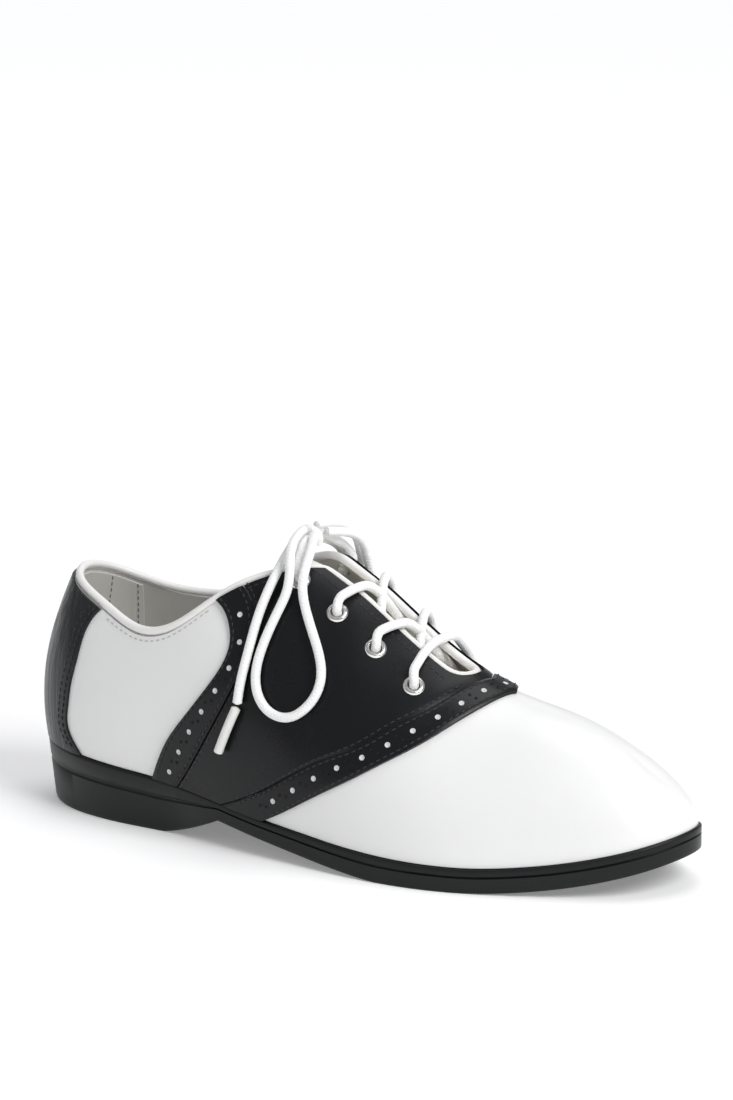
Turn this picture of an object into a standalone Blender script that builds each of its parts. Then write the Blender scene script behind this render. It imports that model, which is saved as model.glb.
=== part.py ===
"""Right saddle shoe: a white lace-up shoe with a black saddle, a black heel strip and a black moulded sole.

Metres, +X to the toe, +Y to the medial side, +Z up. The origin is on the floor under the middle of the shoe.
Every piece of the upper is worked out from one function, the last: a loft from the feather line, where the
upper meets the sole, up to the collar line and the ridge over the instep.
"""
import math
from collections import namedtuple

import bmesh
import bpy
import numpy as np
from mathutils import Matrix, Vector

# Driving sizes
OUTSOLE_LENGTH = 0.256
BALL_HALF_WIDTH = 0.043        # half of the outsole's width at the ball
UPPER_HEIGHT = 0.0825          # height of the facings above the sole's rim
SOLE_EDGE = 0.0084             # height of the sole's edge at the ball and the toe
HEEL_LIFT = 0.0156             # how much higher the rim stands at the back of the heel
TOE_SPRING = 0.0124            # height of the sole's underside at the tip of the toe
ARCH_RISE = 0.0096             # height of the underside at the top of the arch
GAP = 0.0003                   # space between pieces that touch
OVERLAY_GAP = 0.0004           # between the upper and what is stitched on it
FEATHER_INSET = 0.0012         # how far the upper stands in from the edge of the sole
WALL = 0.0018                  # wall of the upper
SADDLE_THICKNESS = 0.0010
BAND_THICKNESS = 0.0014
BINDING_RADIUS = 0.0014
BINDING_CLEARANCE = 0.0008     # from the binding to the leather's edge
THROAT_HALF_GAP = 0.0062       # from the middle of the throat to the binding
TONGUE_THICKNESS = 0.0022
TONGUE_HALF_WIDTH = 0.0215
INSOLE_THICKNESS = 0.0026
LACE_RADIUS = 0.00165
EYELET_RADIUS = 0.0038
EYELET_BORE = 0.0022
EYELET_WALL = 0.0004
EYELET_FLANGE = 0.0007
EYELET_COUNT = 4
EYELET_PITCH = 0.0154          # along the shoe
EYELET_TOP_HALF = 0.0168       # from the middle to the top eyelet
EYELET_LOW_HALF = 0.0198       # and to the lowest one
LACE_AWAY = 0.0038             # from the middle of one lace to the middle of one beside it
KNOT_ALONG = -0.0205           # where the knot sits, from the middle of the outsole
CORD_STEP = 2 * LACE_RADIUS    # between the points of the lace's tighter curves
AGLET_RADIUS = 0.0018
EDGE_BACK = 2 * BINDING_RADIUS + BINDING_CLEARANCE
GROOVE_DEPTH = 0.0006          # of the line round the sole's edge
EDGE_BREAK = 0.0006            # of the sole's corners
HEEL_TAPER = 0.0025            # the heel is this much smaller all round at the floor
AXIS_PLACE = (0.0006, 0.0020, 0.0)    # puts the origin under the middle of the whole shoe

# Places along the shoe, as shares of the outsole's length
BREAST = 0.25                  # front corner of the heel
ARCH_TOP = 0.357
ARCH_END = 0.62                # the forefoot touches the floor from here
SPRING_START = 0.727
THROAT_END = 0.672             # front end of the throat
EYELET_FIRST = 0.4437          # top eyelet
TONGUE_START = 0.405
TONGUE_END = 0.715

SMOOTH_CORNER = 0.012          # roundness of the corner between collar and facing, in shares of a section
LITTLE_ROUND = 0.001           # steps of the parameters, for slopes of the last
LITTLE_UP = 0.03
SHARP_EDGE = 35                # degrees
RING_STEPS = 10                # faces round an eyelet
DRILL_STEPS = 12               # and round its hole
DRILL_LENGTH = 0.012
COLUMNS = 12                   # points up the sections of the upper and its panels

# Sections of the last, heel to toe. along, and top_along for the section's upper end, are shares of the
# outsole's length from its back. lateral, medial, top_lateral, top_medial, out and down are shares of the
# ball's half width. crest_lateral and crest_medial are shares of the upper's height above the rim.
# rise and lean shape the wall above the sole, out and down shape the surface below the section's upper end.
Section = namedtuple("Section", "along lateral medial top_along top_lateral top_medial "
                                "crest_lateral crest_medial rise lean out down")
SECTIONS = [
    Section(0.000, 0.000, 0.000, 0.0566, 0.000, 0.000, 0.771, 0.771, 0.40, 0.16, 0.186, 0.558),
    Section(0.045, 0.450, 0.450, 0.0800, 0.314, 0.314, 0.749, 0.737, 0.40, 0.16, 0.186, 0.558),
    Section(0.135, 0.680, 0.680, 0.1445, 0.500, 0.523, 0.690, 0.675, 0.40, 0.16, 0.163, 0.512),
    Section(0.200, 0.735, 0.710, 0.2070, 0.619, 0.628, 0.641, 0.668, 0.40, 0.16, 0.140, 0.465),
    Section(0.270, 0.770, 0.720, 0.2734, 0.658, 0.651, 0.704, 0.726, 0.40, 0.15, 0.163, 0.465),
    Section(0.340, 0.840, 0.690, 0.3438, 0.581, 0.581, 0.885, 0.885, 0.42, 0.13, 0.256, 0.512),
    Section(0.420, 0.930, 0.660, 0.4141, 0.349, 0.349, 1.014, 1.014, 0.44, 0.10, 0.395, 0.372),
    Section(0.490, 0.990, 0.700, 0.4805, 0.116, 0.116, 1.033, 1.033, 0.46, 0.07, 0.465, 0.140),
    Section(0.560, 1.050, 0.780, 0.5547, 0.000, 0.000, 0.909, 0.909, 0.46, 0.05, 0.442, 0.000),
    Section(0.690, 1.060, 0.950, 0.6797, 0.000, 0.000, 0.684, 0.684, 0.46, 0.05, 0.326, 0.000),
    Section(0.810, 0.860, 0.960, 0.7891, 0.000, 0.000, 0.563, 0.563, 0.46, 0.08, 0.372, 0.000),
    Section(0.905, 0.640, 0.740, 0.8516, 0.000, 0.000, 0.456, 0.456, 0.46, 0.08, 0.302, 0.000),
    Section(0.972, 0.360, 0.420, 0.8945, 0.000, 0.000, 0.334, 0.334, 0.46, 0.08, 0.233, 0.000),
    Section(1.000, -0.050, 0.050, 0.9141, 0.000, 0.000, 0.263, 0.263, 0.44, 0.06, 0.209, 0.000),
]
COLLAR_CLOSES = 6              # section from which the collar line runs in to the ridge
RIDGE_STARTS = 8               # section from which the upper end lies on the ridge
FAN_STARTS = 9                 # section from which the sections fan out round the toe
FAN_FULL = 12

# Rim of the sole behind the ball: share of the heel lift at shares of the length
RIM_LIFT = [(0.0, 1.0), (0.13, 0.86), (0.266, 0.692), (0.434, 0.325), (0.5, 0.205), (0.6, 0.06), (0.7, 0.0),
            (0.8, 0.0), (1.0, 0.0)]

# Lines of the saddle on the last: how far up the section, and how far round from heel (0) to toe (1)
SaddleLine = namedtuple("SaddleLine", "up rear_edge rear_seam front_seam front_edge")
SADDLE_LINES = [
    SaddleLine(0.00, 0.270, 0.314, 0.392, 0.459),
    SaddleLine(0.15, 0.287, 0.347, 0.497, 0.560),
    SaddleLine(0.30, 0.312, 0.380, 0.583, 0.618),
    SaddleLine(0.45, 0.357, 0.411, 0.625, 0.656),
    SaddleLine(0.60, 0.397, 0.432, 0.655, 0.682),
    SaddleLine(0.75, 0.397, 0.431, 0.674, 0.702),
    SaddleLine(0.90, 0.379, 0.414, 0.687, 0.716),
    SaddleLine(1.00, 0.362, 0.398, 0.693, 0.723),
]
# Front edge of the heel strip: how far up, and how far round from the back of the heel
HEEL_STRIP_LINE = [(0.0, 0.137), (0.10, 0.118), (0.25, 0.117), (0.40, 0.121), (0.60, 0.127), (0.80, 0.132),
                   (0.93, 0.143), (1.0, 0.153)]

# Height down the sole's edge and how far it stands out there, as shares of the edge and of the groove
SOLE_STEPS = [(0.0, -1.0), (0.07, 0.0), (0.29, 0.0), (0.33, -1.0), (0.37, 0.0), (0.93, 0.0), (1.0, -1.0)]


def natural_spline(knots, values):
    """Natural cubic spline through values, which may be numbers or points."""
    knots = np.asarray(knots, float)
    values = np.asarray(values, float)
    count = len(knots)
    step = np.diff(knots)
    matrix = np.eye(count)
    right = np.zeros(values.shape)
    for i in range(1, count - 1):
        matrix[i, i - 1:i + 2] = step[i - 1], 2 * (step[i - 1] + step[i]), step[i]
        right[i] = 6 * ((values[i + 1] - values[i]) / step[i] - (values[i] - values[i - 1]) / step[i - 1])
    bend = np.linalg.solve(matrix, right)

    def curve(at):
        at = np.asarray(at, float)
        i = np.clip(np.searchsorted(knots, at) - 1, 0, count - 2)
        h, before, after = step[i], knots[i + 1] - at, at - knots[i]
        if values.ndim > 1:
            h, before, after = h[..., None], before[..., None], after[..., None]
        bent = (bend[i] * before ** 3 + bend[i + 1] * after ** 3) / (6 * h)
        behind = (values[i] / h - bend[i] * h / 6) * before
        return bent + behind + (values[i + 1] / h - bend[i + 1] * h / 6) * after
    return curve


def ease(start, end, at):
    """0 before start, 1 after end, with a smooth climb between them."""
    t = np.clip((np.asarray(at, float) - start) / (end - start), 0, 1)
    return t * t * t * (t * (6 * t - 15) + 10)


def column(name):
    return np.array([getattr(section, name) for section in SECTIONS])


def length_at(share):
    return (np.asarray(share) - 0.5) * OUTSOLE_LENGTH


def section_knots():
    """Parameter of each section: 0 at the back of the heel, 1 at the toe, by the square root of chords."""
    x = length_at(column("along"))
    chords = [np.hypot(np.diff(x), np.diff(column(side) * BALL_HALF_WIDTH)) for side in ("lateral", "medial")]
    walk = np.cumsum(np.sqrt(chords[0]) + np.sqrt(chords[1]))
    return np.concatenate([[0], walk / walk[-1]])


KNOTS = section_knots()


def loop_spline(medial, lateral):
    """Closed curve through the sections, medial side forwards and lateral side back, as f(side, round)."""
    points = np.concatenate([medial, lateral[-2:0:-1]])
    knots = np.concatenate([KNOTS, 2 - KNOTS[-2:0:-1]])
    points = np.concatenate([points[-5:], points, points[:6]])
    knots = np.concatenate([knots[-5:] - 2, knots, knots[:6] + 2])
    curve = natural_spline(knots, points)
    return lambda side, u: curve(np.where(np.asarray(side) > 0, u, 2 - np.asarray(u)))


def even_loop(name):
    return loop_spline(column(name), column(name))


OUTLINE = loop_spline(np.stack([length_at(column("along")), column("medial") * BALL_HALF_WIDTH], 1),
                      np.stack([length_at(column("along")), -column("lateral") * BALL_HALF_WIDTH], 1))
TOP_ALONG = even_loop("top_along")
TOP_ACROSS = loop_spline(column("top_medial"), -column("top_lateral"))
TOP_CREST = loop_spline(column("crest_medial"), column("crest_lateral"))
RISE, LEAN, OUT, DOWN = (even_loop(name) for name in ("rise", "lean", "out", "down"))
RIM_LIFT_CURVE = natural_spline([row[0] for row in RIM_LIFT], [row[1] for row in RIM_LIFT])


# Height of a lace strand over the upper's face, as it goes from over one facing to under the other. across is
# the share of the way from the middle of the shoe to each eyelet; over and under are shares of the heights of
# a strand lying on the eyelets and of one lying under the binding.
Dip = namedtuple("Dip", "across over under")
CROSS_DIPS = [Dip(-1.0, 1.0, 0.0), Dip(-0.82, 1.0, 0.0), Dip(-0.62, 0.85, 0.0), Dip(-0.50, 0.78, 0.0),
              Dip(-0.36, 0.62, 0.0), Dip(-0.18, 0.30, 0.1), Dip(0.0, 0.0, 0.3), Dip(0.18, 0.0, 0.72),
              Dip(0.34, 0.0, 1.0), Dip(0.50, 0.0, 1.0), Dip(0.75, 0.0, 1.0), Dip(0.95, 0.0, 1.0)]
BAR_DIPS = [Dip(-1.0, 1.0, 0.0), Dip(-0.80, 1.0, 0.0), Dip(-0.62, 0.92, 0.0), Dip(-0.48, 0.88, 0.0),
            Dip(-0.30, 0.70, 0.0), Dip(0.0, 0.50, 0.0), Dip(0.30, 0.70, 0.0), Dip(0.48, 0.88, 0.0),
            Dip(0.62, 0.92, 0.0), Dip(0.80, 1.0, 0.0), Dip(1.0, 1.0, 0.0)]
TOP_DIPS = [dip._replace(over=0.16) if dip.across == 0 else dip for dip in BAR_DIPS]

# Where the loops and ends of the bow hang on each side of the shoe: how far round and up the last, and the
# height of the middle of the lace over its face, in lace diameters
Hang = namedtuple("Hang", "round up stand")
LOOP_HANGS = [Hang(0.481, 0.920, 2.70), Hang(0.486, 0.812, 2.10), Hang(0.500, 0.690, 1.35),
              Hang(0.518, 0.598, 1.20), Hang(0.535, 0.522, 1.18), Hang(0.541, 0.457, 1.18),
              Hang(0.530, 0.382, 1.18), Hang(0.500, 0.334, 1.18), Hang(0.470, 0.364, 1.18),
              Hang(0.4535, 0.448, 1.18), Hang(0.4555, 0.574, 1.18), Hang(0.467, 0.705, 1.30),
              Hang(0.472, 0.812, 2.10), Hang(0.464, 0.920, 3.20)]
END_HANGS = [Hang(0.447, 0.905, 1.60), Hang(0.442, 0.742, 1.25), Hang(0.4365, 0.567, 1.20),
             Hang(0.431, 0.459, 1.20), Hang(0.4285, 0.385, 1.20)]
AGLET_HANGS = [Hang(0.4280, 0.376, 1.20), Hang(0.4158, 0.306, 1.20), Hang(0.3997, 0.207, 1.20)]


def spring(x):
    start, end = length_at(SPRING_START), length_at(1.0)
    return TOE_SPRING * np.clip((x - start) / (end - start), 0, None) ** 1.95


def rim_height(x):
    """Height of the top of the sole's edge."""
    share = np.clip(x / OUTSOLE_LENGTH + 0.5, 0, 1)
    return SOLE_EDGE + HEEL_LIFT * RIM_LIFT_CURVE(share) + spring(x)


def floor_height(x):
    """Height of the sole's underside: heel, breast, arch, forefoot and toe spring."""
    share = x / OUTSOLE_LENGTH + 0.5
    climb = np.clip((share - BREAST) / (ARCH_TOP - BREAST), 0, 1) ** 1.3
    fall = np.clip((ARCH_END - share) / (ARCH_END - ARCH_TOP), 0, 1) ** 1.2
    return ARCH_RISE * np.where(share < ARCH_TOP, climb, fall) + spring(x)


def outward(side, u):
    """Level direction out of the outline."""
    little = 1e-4
    way = OUTLINE(side, u + little) - OUTLINE(side, u - little)
    way = way / np.linalg.norm(way, axis=-1, keepdims=True)
    return np.stack([-way[..., 1], way[..., 0]], -1) * side


def feather(side, u):
    """Where the upper meets the sole."""
    flat = OUTLINE(side, u) - FEATHER_INSET * outward(side, u)
    return np.concatenate([flat, rim_height(flat[..., :1]) + GAP], -1)


def top_line(side, u):
    """Upper end of each section: the collar line behind, the ridge over instep and toe in front."""
    open_share = 1 - ease(KNOTS[COLLAR_CLOSES] + 0.3 * (KNOTS[COLLAR_CLOSES + 1] - KNOTS[COLLAR_CLOSES]),
                          KNOTS[RIDGE_STARTS], u)
    along = TOP_ALONG(side, u)
    along = along * open_share + (1 - open_share) * 0.5 * (along + TOP_ALONG(-side, u))
    mine, other = TOP_CREST(side, u), TOP_CREST(-side, u)
    crest = 0.5 * (mine + other) + 0.5 * (mine - other) * open_share
    rim = rim_height(0.5 * (OUTLINE(side, u)[..., 0] + OUTLINE(-side, u)[..., 0]))
    return np.stack([length_at(along), TOP_ACROSS(side, u) * BALL_HALF_WIDTH * open_share,
                     rim + crest * UPPER_HEIGHT], -1)


def ridge_slope(u):
    little = 0.008
    u = np.clip(u, KNOTS[RIDGE_STARTS], 1)
    back, here = top_line(1, u - little), top_line(1, u)
    return (here[..., 2] - back[..., 2]) / (here[..., 0] - back[..., 0])


def last(side, u, v):
    """Point of the upper's outer face: u goes round from heel (0) to toe (1), v up the section."""
    u, v = np.broadcast_arrays(np.asarray(u, float), np.asarray(v, float))
    foot, top, way = feather(side, u), top_line(side, u), outward(side, u)
    rise = RISE(side, u) * (top[..., 2] - foot[..., 2])
    lean = LEAN(side, u) * rise
    low = foot + np.stack([way[..., 0] * lean, way[..., 1] * lean, rise], -1)
    round_toe = ease(KNOTS[FAN_STARTS], KNOTS[FAN_FULL], u)
    turn = round_toe + 1 - ease(KNOTS[COLLAR_CLOSES], KNOTS[RIDGE_STARTS], u)
    dive = ridge_slope(u) * way[..., 0] * turn
    reach = OUT(side, u) * BALL_HALF_WIDTH
    drop = DOWN(side, u) * BALL_HALF_WIDTH * (1 - ease(KNOTS[RIDGE_STARTS - 1], KNOTS[RIDGE_STARTS], u))
    high = top + np.stack([way[..., 0] * turn * reach, way[..., 1] * reach, dive * reach - drop], -1)
    v = v[..., None]
    return foot * (1 - v) ** 3 + 3 * low * v * (1 - v) ** 2 + 3 * high * v * v * (1 - v) + top * v ** 3


def face_normal(side, u, v):
    """Direction out of the last. On the ridge it is read just behind the tip, where the two sides meet."""
    u, v = np.broadcast_arrays(np.asarray(u, float), np.asarray(v, float))
    u = np.where(v > 1 - LITTLE_ROUND, np.minimum(u, 1 - 3 * LITTLE_ROUND), u)
    up = last(side, u, v + LITTLE_ROUND) - last(side, u, v - LITTLE_ROUND)
    forward = last(side, u + LITTLE_ROUND, v) - last(side, u - LITTLE_ROUND, v)
    cross = np.cross(up, forward) * side
    return cross / np.linalg.norm(cross, axis=-1, keepdims=True)


def raised(side, u, v, height):
    """Point at a height above the upper's outer face."""
    return last(side, u, v) + height * face_normal(side, u, v)


def half_width_v(side, u, half):
    """How far up each section comes within half of the middle of the shoe; past 1 if it never does."""
    u, half = np.broadcast_arrays(np.asarray(u, float), np.asarray(half, float))
    low, high = np.full(u.shape, 0.35), np.ones(u.shape)
    for _ in range(20):
        middle = 0.5 * (low + high)
        wide = np.abs(last(side, u, middle)[..., 1]) > half
        low, high = np.where(wide, middle, low), np.where(wide, high, middle)
    over = np.abs(top_line(side, u)[..., 1]) - half
    return np.where(over > 0, 1 + over / BALL_HALF_WIDTH, low)


def walk_up(side, u):
    """Metres a section climbs for each unit of v, at its upper end."""
    return np.linalg.norm(top_line(side, u) - last(side, u, 1 - LITTLE_UP), axis=-1) / LITTLE_UP


def opening_v(side, u, back):
    """How far up the line round collar and throat lies, at a distance back from the opening."""
    u = np.asarray(u, float)
    top = top_line(side, u)
    collar = 1 - back / walk_up(side, u)
    half = THROAT_HALF_GAP + back
    front = length_at(THROAT_END) + back
    to_front = np.clip((front - top[..., 0]) / half, 0, 1)
    facing = half_width_v(side, u, half * np.sqrt(1 - (1 - to_front) ** 2))
    facing = np.where(u > KNOTS[COLLAR_CLOSES - 2], facing, 2)
    soft = -SMOOTH_CORNER * np.logaddexp(-collar / SMOOTH_CORNER, -facing / SMOOTH_CORNER)
    return np.where(u > KNOTS[RIDGE_STARTS], facing, soft)


def round_at(x):
    """Parameter u whose section's upper end lies at x."""
    u = np.linspace(0, 1, 401)
    return np.interp(x, top_line(1, u)[:, 0], u)


def spot(side, x, half):
    """Parameters u, v of the point of the instep at x and at a distance half from the middle."""
    u = float(round_at(x))
    for _ in range(5):
        v = float(half_width_v(side, u, half))
        u += (x - float(last(side, u, v)[0])) / OUTSOLE_LENGTH
    return u, float(half_width_v(side, u, half))


def smooth_shade(mesh):
    mesh.shade_smooth()
    mesh.set_sharp_from_angle(angle=math.radians(SHARP_EDGE))


def add_object(name, mesh, material):
    piece = bpy.data.objects.new(name, mesh)
    piece.data.materials.append(material)
    SHOE.objects.link(piece)
    return piece


def mesh_from(vertices, faces):
    mesh = bpy.data.meshes.new("piece")
    mesh.from_pydata([tuple(float(c) for c in point) for point in vertices], [], faces)
    shape = bmesh.new()
    shape.from_mesh(mesh)
    bmesh.ops.remove_doubles(shape, verts=shape.verts, dist=0.00002)
    shape.to_mesh(mesh)
    shape.free()
    smooth_shade(mesh)
    return mesh


def patch(rows, start=0):
    """Vertices and outward faces of one grid, whose rows go round the shoe and whose columns go up."""
    rows = np.asarray(rows)
    count, across = rows.shape[:2]
    faces = []
    for i in range(count - 1):
        for j in range(across - 1):
            a = start + i * across + j
            faces.append((a, a + 1, a + across + 1, a + across))
    return list(rows.reshape(-1, 3)), faces


def patches_mesh(grids):
    vertices, faces = [], []
    for grid in grids:
        more, quads = patch(grid, len(vertices))
        vertices += more
        faces += quads
    return mesh_from(vertices, faces)


def solidify(piece, thickness):
    """Wall thickness, all inside the modelled face."""
    wall = piece.modifiers.new("wall", "SOLIDIFY")
    wall.thickness = thickness
    wall.offset = -1
    wall.use_even_offset = True


def bridged_solid(name, levels, material):
    """Closed solid from levels of points, top level first, each round the shoe as loop_points gives them."""
    levels = np.asarray(levels)
    count = levels.shape[1]
    half = count // 2
    vertices = list(levels.reshape(-1, 3))
    faces = []
    for k in range(len(levels) - 1):
        for i in range(count):
            j = (i + 1) % count
            faces.append((k * count + i, k * count + j, (k + 1) * count + j, (k + 1) * count + i))
    base = (len(levels) - 1) * count
    for i in range(half):
        left, right = (i, i + 1), ((count - i) % count, count - i - 1)
        top = [left[0], right[0], right[1], left[1]]
        under = [base + index for index in reversed(top)]
        for ring in (top, under):
            kept = list(dict.fromkeys(ring))
            if len(kept) > 2:
                faces.append(tuple(kept))
    return add_object(name, mesh_from(vertices, faces), material)


def round_list(count):
    """Parameters round one side, closer at heel and toe."""
    angle = np.linspace(0, math.pi, count)
    even = np.linspace(0, 1, count)
    return 0.45 * 0.5 * (1 - np.cos(angle)) + 0.55 * even


def loop_points(maker, us):
    """Points of a closed line: medial side forwards and lateral side back, heel and toe once."""
    return np.concatenate([maker(1, us), maker(-1, us[::-1][1:-1])])


def make_outsole(material):
    us = round_list(36)
    levels = []
    for share, stand in SOLE_STEPS:
        def level(side, u, share=share, stand=stand):
            flat = OUTLINE(side, u)
            x = flat[..., 0]
            heel = 1 - ease(BREAST, ARCH_TOP, x / OUTSOLE_LENGTH + 0.5)
            depth = GROOVE_DEPTH if 0.1 < share < 0.9 else EDGE_BREAK
            flat = flat + outward(side, u) * (stand * depth - share * HEEL_TAPER * heel)[..., None]
            high, low = rim_height(x), floor_height(x)
            return np.concatenate([flat, (high + (low - high) * share)[..., None]], -1)
        levels.append(loop_points(level, us))
    return bridged_solid("outsole", levels, material)


def make_insole(material):
    us = round_list(34)
    shrink = WALL + 2 * GAP

    def level(height):
        def line(side, u):
            flat = OUTLINE(side, u) - (FEATHER_INSET + shrink) * outward(side, u)
            return np.concatenate([flat, rim_height(flat[..., :1]) + height], -1)
        return line
    levels = [loop_points(level(GAP + INSOLE_THICKNESS), us), loop_points(level(GAP), us)]
    return bridged_solid("insole", levels, material)


UPS = np.linspace(0, 1, COLUMNS)


def collar_v(side, u, back):
    """How far up the leather goes: a distance back from the collar line, and up to 1 on the ridge."""
    ridge = (u > KNOTS[COLLAR_CLOSES]) & (np.abs(top_line(side, u)[..., 1]) < 0.2 * THROAT_HALF_GAP)
    return np.where(ridge, 1.0, 1 - back / walk_up(side, u))


def climb_to(limit, ups):
    """Heights of the points of a section that ends at limit; the lower ones stay level all round."""
    return ups - (1 - limit) * ups ** 3


def make_upper(material):
    us = np.concatenate([np.linspace(0, 0.5, 20), np.linspace(0.5, 1, 18)[1:]])
    grids = []
    for side in (1, -1):
        limit = collar_v(side, us, EDGE_BACK)
        grids.append(raised(side, us[:, None], climb_to(limit[:, None], UPS[None, :]), 0)[::side])
    upper = add_object("upper", patches_mesh(grids), material)
    solidify(upper, WALL)
    return upper


def saddle_line(name):
    return natural_spline([row.up for row in SADDLE_LINES], [getattr(row, name) for row in SADDLE_LINES])


def panel_grid(side, start, end, shares, ups, height):
    """Grid of a panel between two lines of the saddle: shares go from one line to the other."""
    first, final = start(ups), end(ups)
    limit = collar_v(side, first[-1] + (final[-1] - first[-1]) * shares, EDGE_BACK)
    us = first[None, :] + (final - first)[None, :] * shares[:, None]
    return raised(side, us, climb_to(limit[:, None], ups[None, :]), height)


def inset_line(line, step):
    return lambda ups: line(ups) + step


def across_gap(side, u):
    """Change of u that makes half the gap between panels."""
    walk = np.linalg.norm(last(side, u + 0.01, 0.5) - last(side, u, 0.5)) / 0.01
    return 0.5 * GAP / walk


def make_panel(name, sides, start, end, rows, thickness, material):
    """Panel stitched on the upper between two lines, on one side or over the ridge on both."""
    shares = np.linspace(0, 1, rows)
    grids = [panel_grid(side, start, end, shares, UPS, OVERLAY_GAP + thickness)[::side] for side in sides]
    panel = add_object(name, patches_mesh(grids), material)
    solidify(panel, thickness)
    return panel


def make_saddle(material):
    rear = inset_line(saddle_line("rear_seam"), across_gap(1, 0.4))
    front = inset_line(saddle_line("front_seam"), -across_gap(1, 0.65))
    return make_panel("saddle", (1, -1), rear, front, 14, SADDLE_THICKNESS, material)


def make_bands(material):
    """Perforated bands along the saddle's front edge, over the ridge, and along its rear edges."""
    front = inset_line(saddle_line("front_seam"), across_gap(1, 0.65))
    make_panel("saddle_front_band", (1, -1), front, saddle_line("front_edge"), 4, BAND_THICKNESS, material)
    rear = inset_line(saddle_line("rear_seam"), -across_gap(1, 0.4))
    for name, side in (("lateral", -1), ("medial", 1)):
        make_panel(f"saddle_rear_band_{name}", (side,), saddle_line("rear_edge"), rear, 4, BAND_THICKNESS,
                   material)


def make_heel_strip(material):
    edge = natural_spline([row[0] for row in HEEL_STRIP_LINE], [row[1] for row in HEEL_STRIP_LINE])
    return make_panel("heel_strip", (1, -1), lambda ups: 0 * ups, edge, 7, SADDLE_THICKNESS, material)


def evenly(points, spacing, closed):
    """Points a like distance apart along a line."""
    points = np.asarray(points, float)
    if closed:
        points = np.vstack([points, points[:1]])
    walk = np.concatenate([[0], np.cumsum(np.linalg.norm(np.diff(points, axis=0), axis=1))])
    count = max(4, round(walk[-1] / spacing))
    at = np.linspace(0, walk[-1], count, endpoint=False) if closed else np.linspace(0, walk[-1], count + 1)
    return np.stack([np.interp(at, walk, points[:, i]) for i in range(3)], 1)


def tube(name, points, radius, material, closed=False):
    """Round cord or piping through the points."""
    curve = bpy.data.curves.new(name, "CURVE")
    curve.dimensions = "3D"
    curve.bevel_depth = radius
    curve.bevel_resolution = 2
    curve.use_fill_caps = not closed
    line = curve.splines.new("POLY")
    line.points.add(len(points) - 1)
    for point, place in zip(line.points, points):
        point.co = (*(float(c) for c in place), 1.0)
    line.use_cyclic_u = closed
    curve.materials.append(material)
    piece = bpy.data.objects.new(name, curve)
    SHOE.objects.link(piece)
    return piece


def make_binding(material):
    """Piping over the raw edge, round the collar, down both facings and round the end of the throat."""
    end = float(round_at(length_at(THROAT_END) + BINDING_RADIUS))
    us = np.concatenate([np.linspace(0, end, 300)[:-1], [end]])
    us = np.sort(np.concatenate([us, end - (end - us[-40]) * np.linspace(0, 1, 60) ** 2]))
    sides = []
    for side in (1, -1):
        v = np.minimum(opening_v(side, us, BINDING_RADIUS), 1)
        sides.append(raised(side, us, v, -0.5 * WALL))
    line = np.concatenate([sides[0], sides[1][::-1][1:-1]])
    return tube("collar_binding", evenly(line, 3.5 * BINDING_RADIUS, True), BINDING_RADIUS, material, True)


def tongue_depth(x):
    """How far below the outer face the tongue lies: room for the lace behind, sewn to the vamp in front."""
    under_lace = 0.5 * WALL + BINDING_RADIUS + 2 * LACE_RADIUS + 2 * GAP
    throat_end = length_at(THROAT_END)
    return under_lace + (WALL + GAP - under_lace) * ease(throat_end - 0.010, throat_end + 0.007, x)


def under_instep(u, across, depth):
    """Point under the instep at a signed distance across; the open middle is bridged by an arch."""
    joint = max(THROAT_HALF_GAP + EDGE_BACK, float(np.abs(top_line(1, u)[1])) * 1.02)
    points = []
    for side in (1, -1):
        half = max(abs(across), joint)
        v = float(half_width_v(side, u, half))
        points.append(raised(side, u, min(v, 1), -depth))
    side_point = points[0] if across > 0 else points[1]
    if abs(across) >= joint:
        return side_point
    further = [raised(side, u, min(float(half_width_v(side, u, joint * 1.1)), 1), -depth) for side in (1, -1)]
    reach = 0.5 * (points[0][1] - points[1][1])
    fall = 0.5 * sum((near[2] - far[2]) / abs(near[1] - far[1]) for near, far in zip(points, further))
    level = 0.5 * (points[0] + points[1])
    place = across / joint * reach
    return np.array([level[0], place, level[2] + fall * (reach ** 2 - place ** 2) / (2 * reach)])


def make_tongue(material):
    places = np.linspace(TONGUE_START, TONGUE_END, 15)
    us = round_at(length_at(places))
    width = TONGUE_HALF_WIDTH * (1 - 0.25 * np.linspace(0, 1, len(places)) ** 1.5)
    width[0] *= 0.72
    width[1] *= 0.93
    shares = np.linspace(-1, 1, 11)
    depths = tongue_depth(length_at(places))
    grid = [[under_instep(float(u), share * half, float(depth)) for share in shares]
            for u, half, depth in zip(us, width, depths)]
    tongue = add_object("tongue", patches_mesh([np.array(grid)[:, ::-1]]), material)
    solidify(tongue, TONGUE_THICKNESS)
    return tongue


def eyelet_plan(number):
    """Distance along and from the middle of an eyelet pair."""
    share = number / (EYELET_COUNT - 1)
    half = EYELET_TOP_HALF + (EYELET_LOW_HALF - EYELET_TOP_HALF) * share
    return float(length_at(EYELET_FIRST)) + number * EYELET_PITCH, half


def eyelet_spots():
    """Side, number, parameters and frame of every eyelet."""
    spots = []
    for side in (-1, 1):
        for number in range(EYELET_COUNT):
            u, v = spot(side, *eyelet_plan(number))
            spots.append((side, number, last(side, u, v), face_normal(side, u, v)))
    return spots


def turned_to(normal, place):
    turn = Vector((0, 0, 1)).rotation_difference(Vector(normal)).to_matrix().to_4x4()
    return Matrix.Translation(Vector(place)) @ turn


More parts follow.
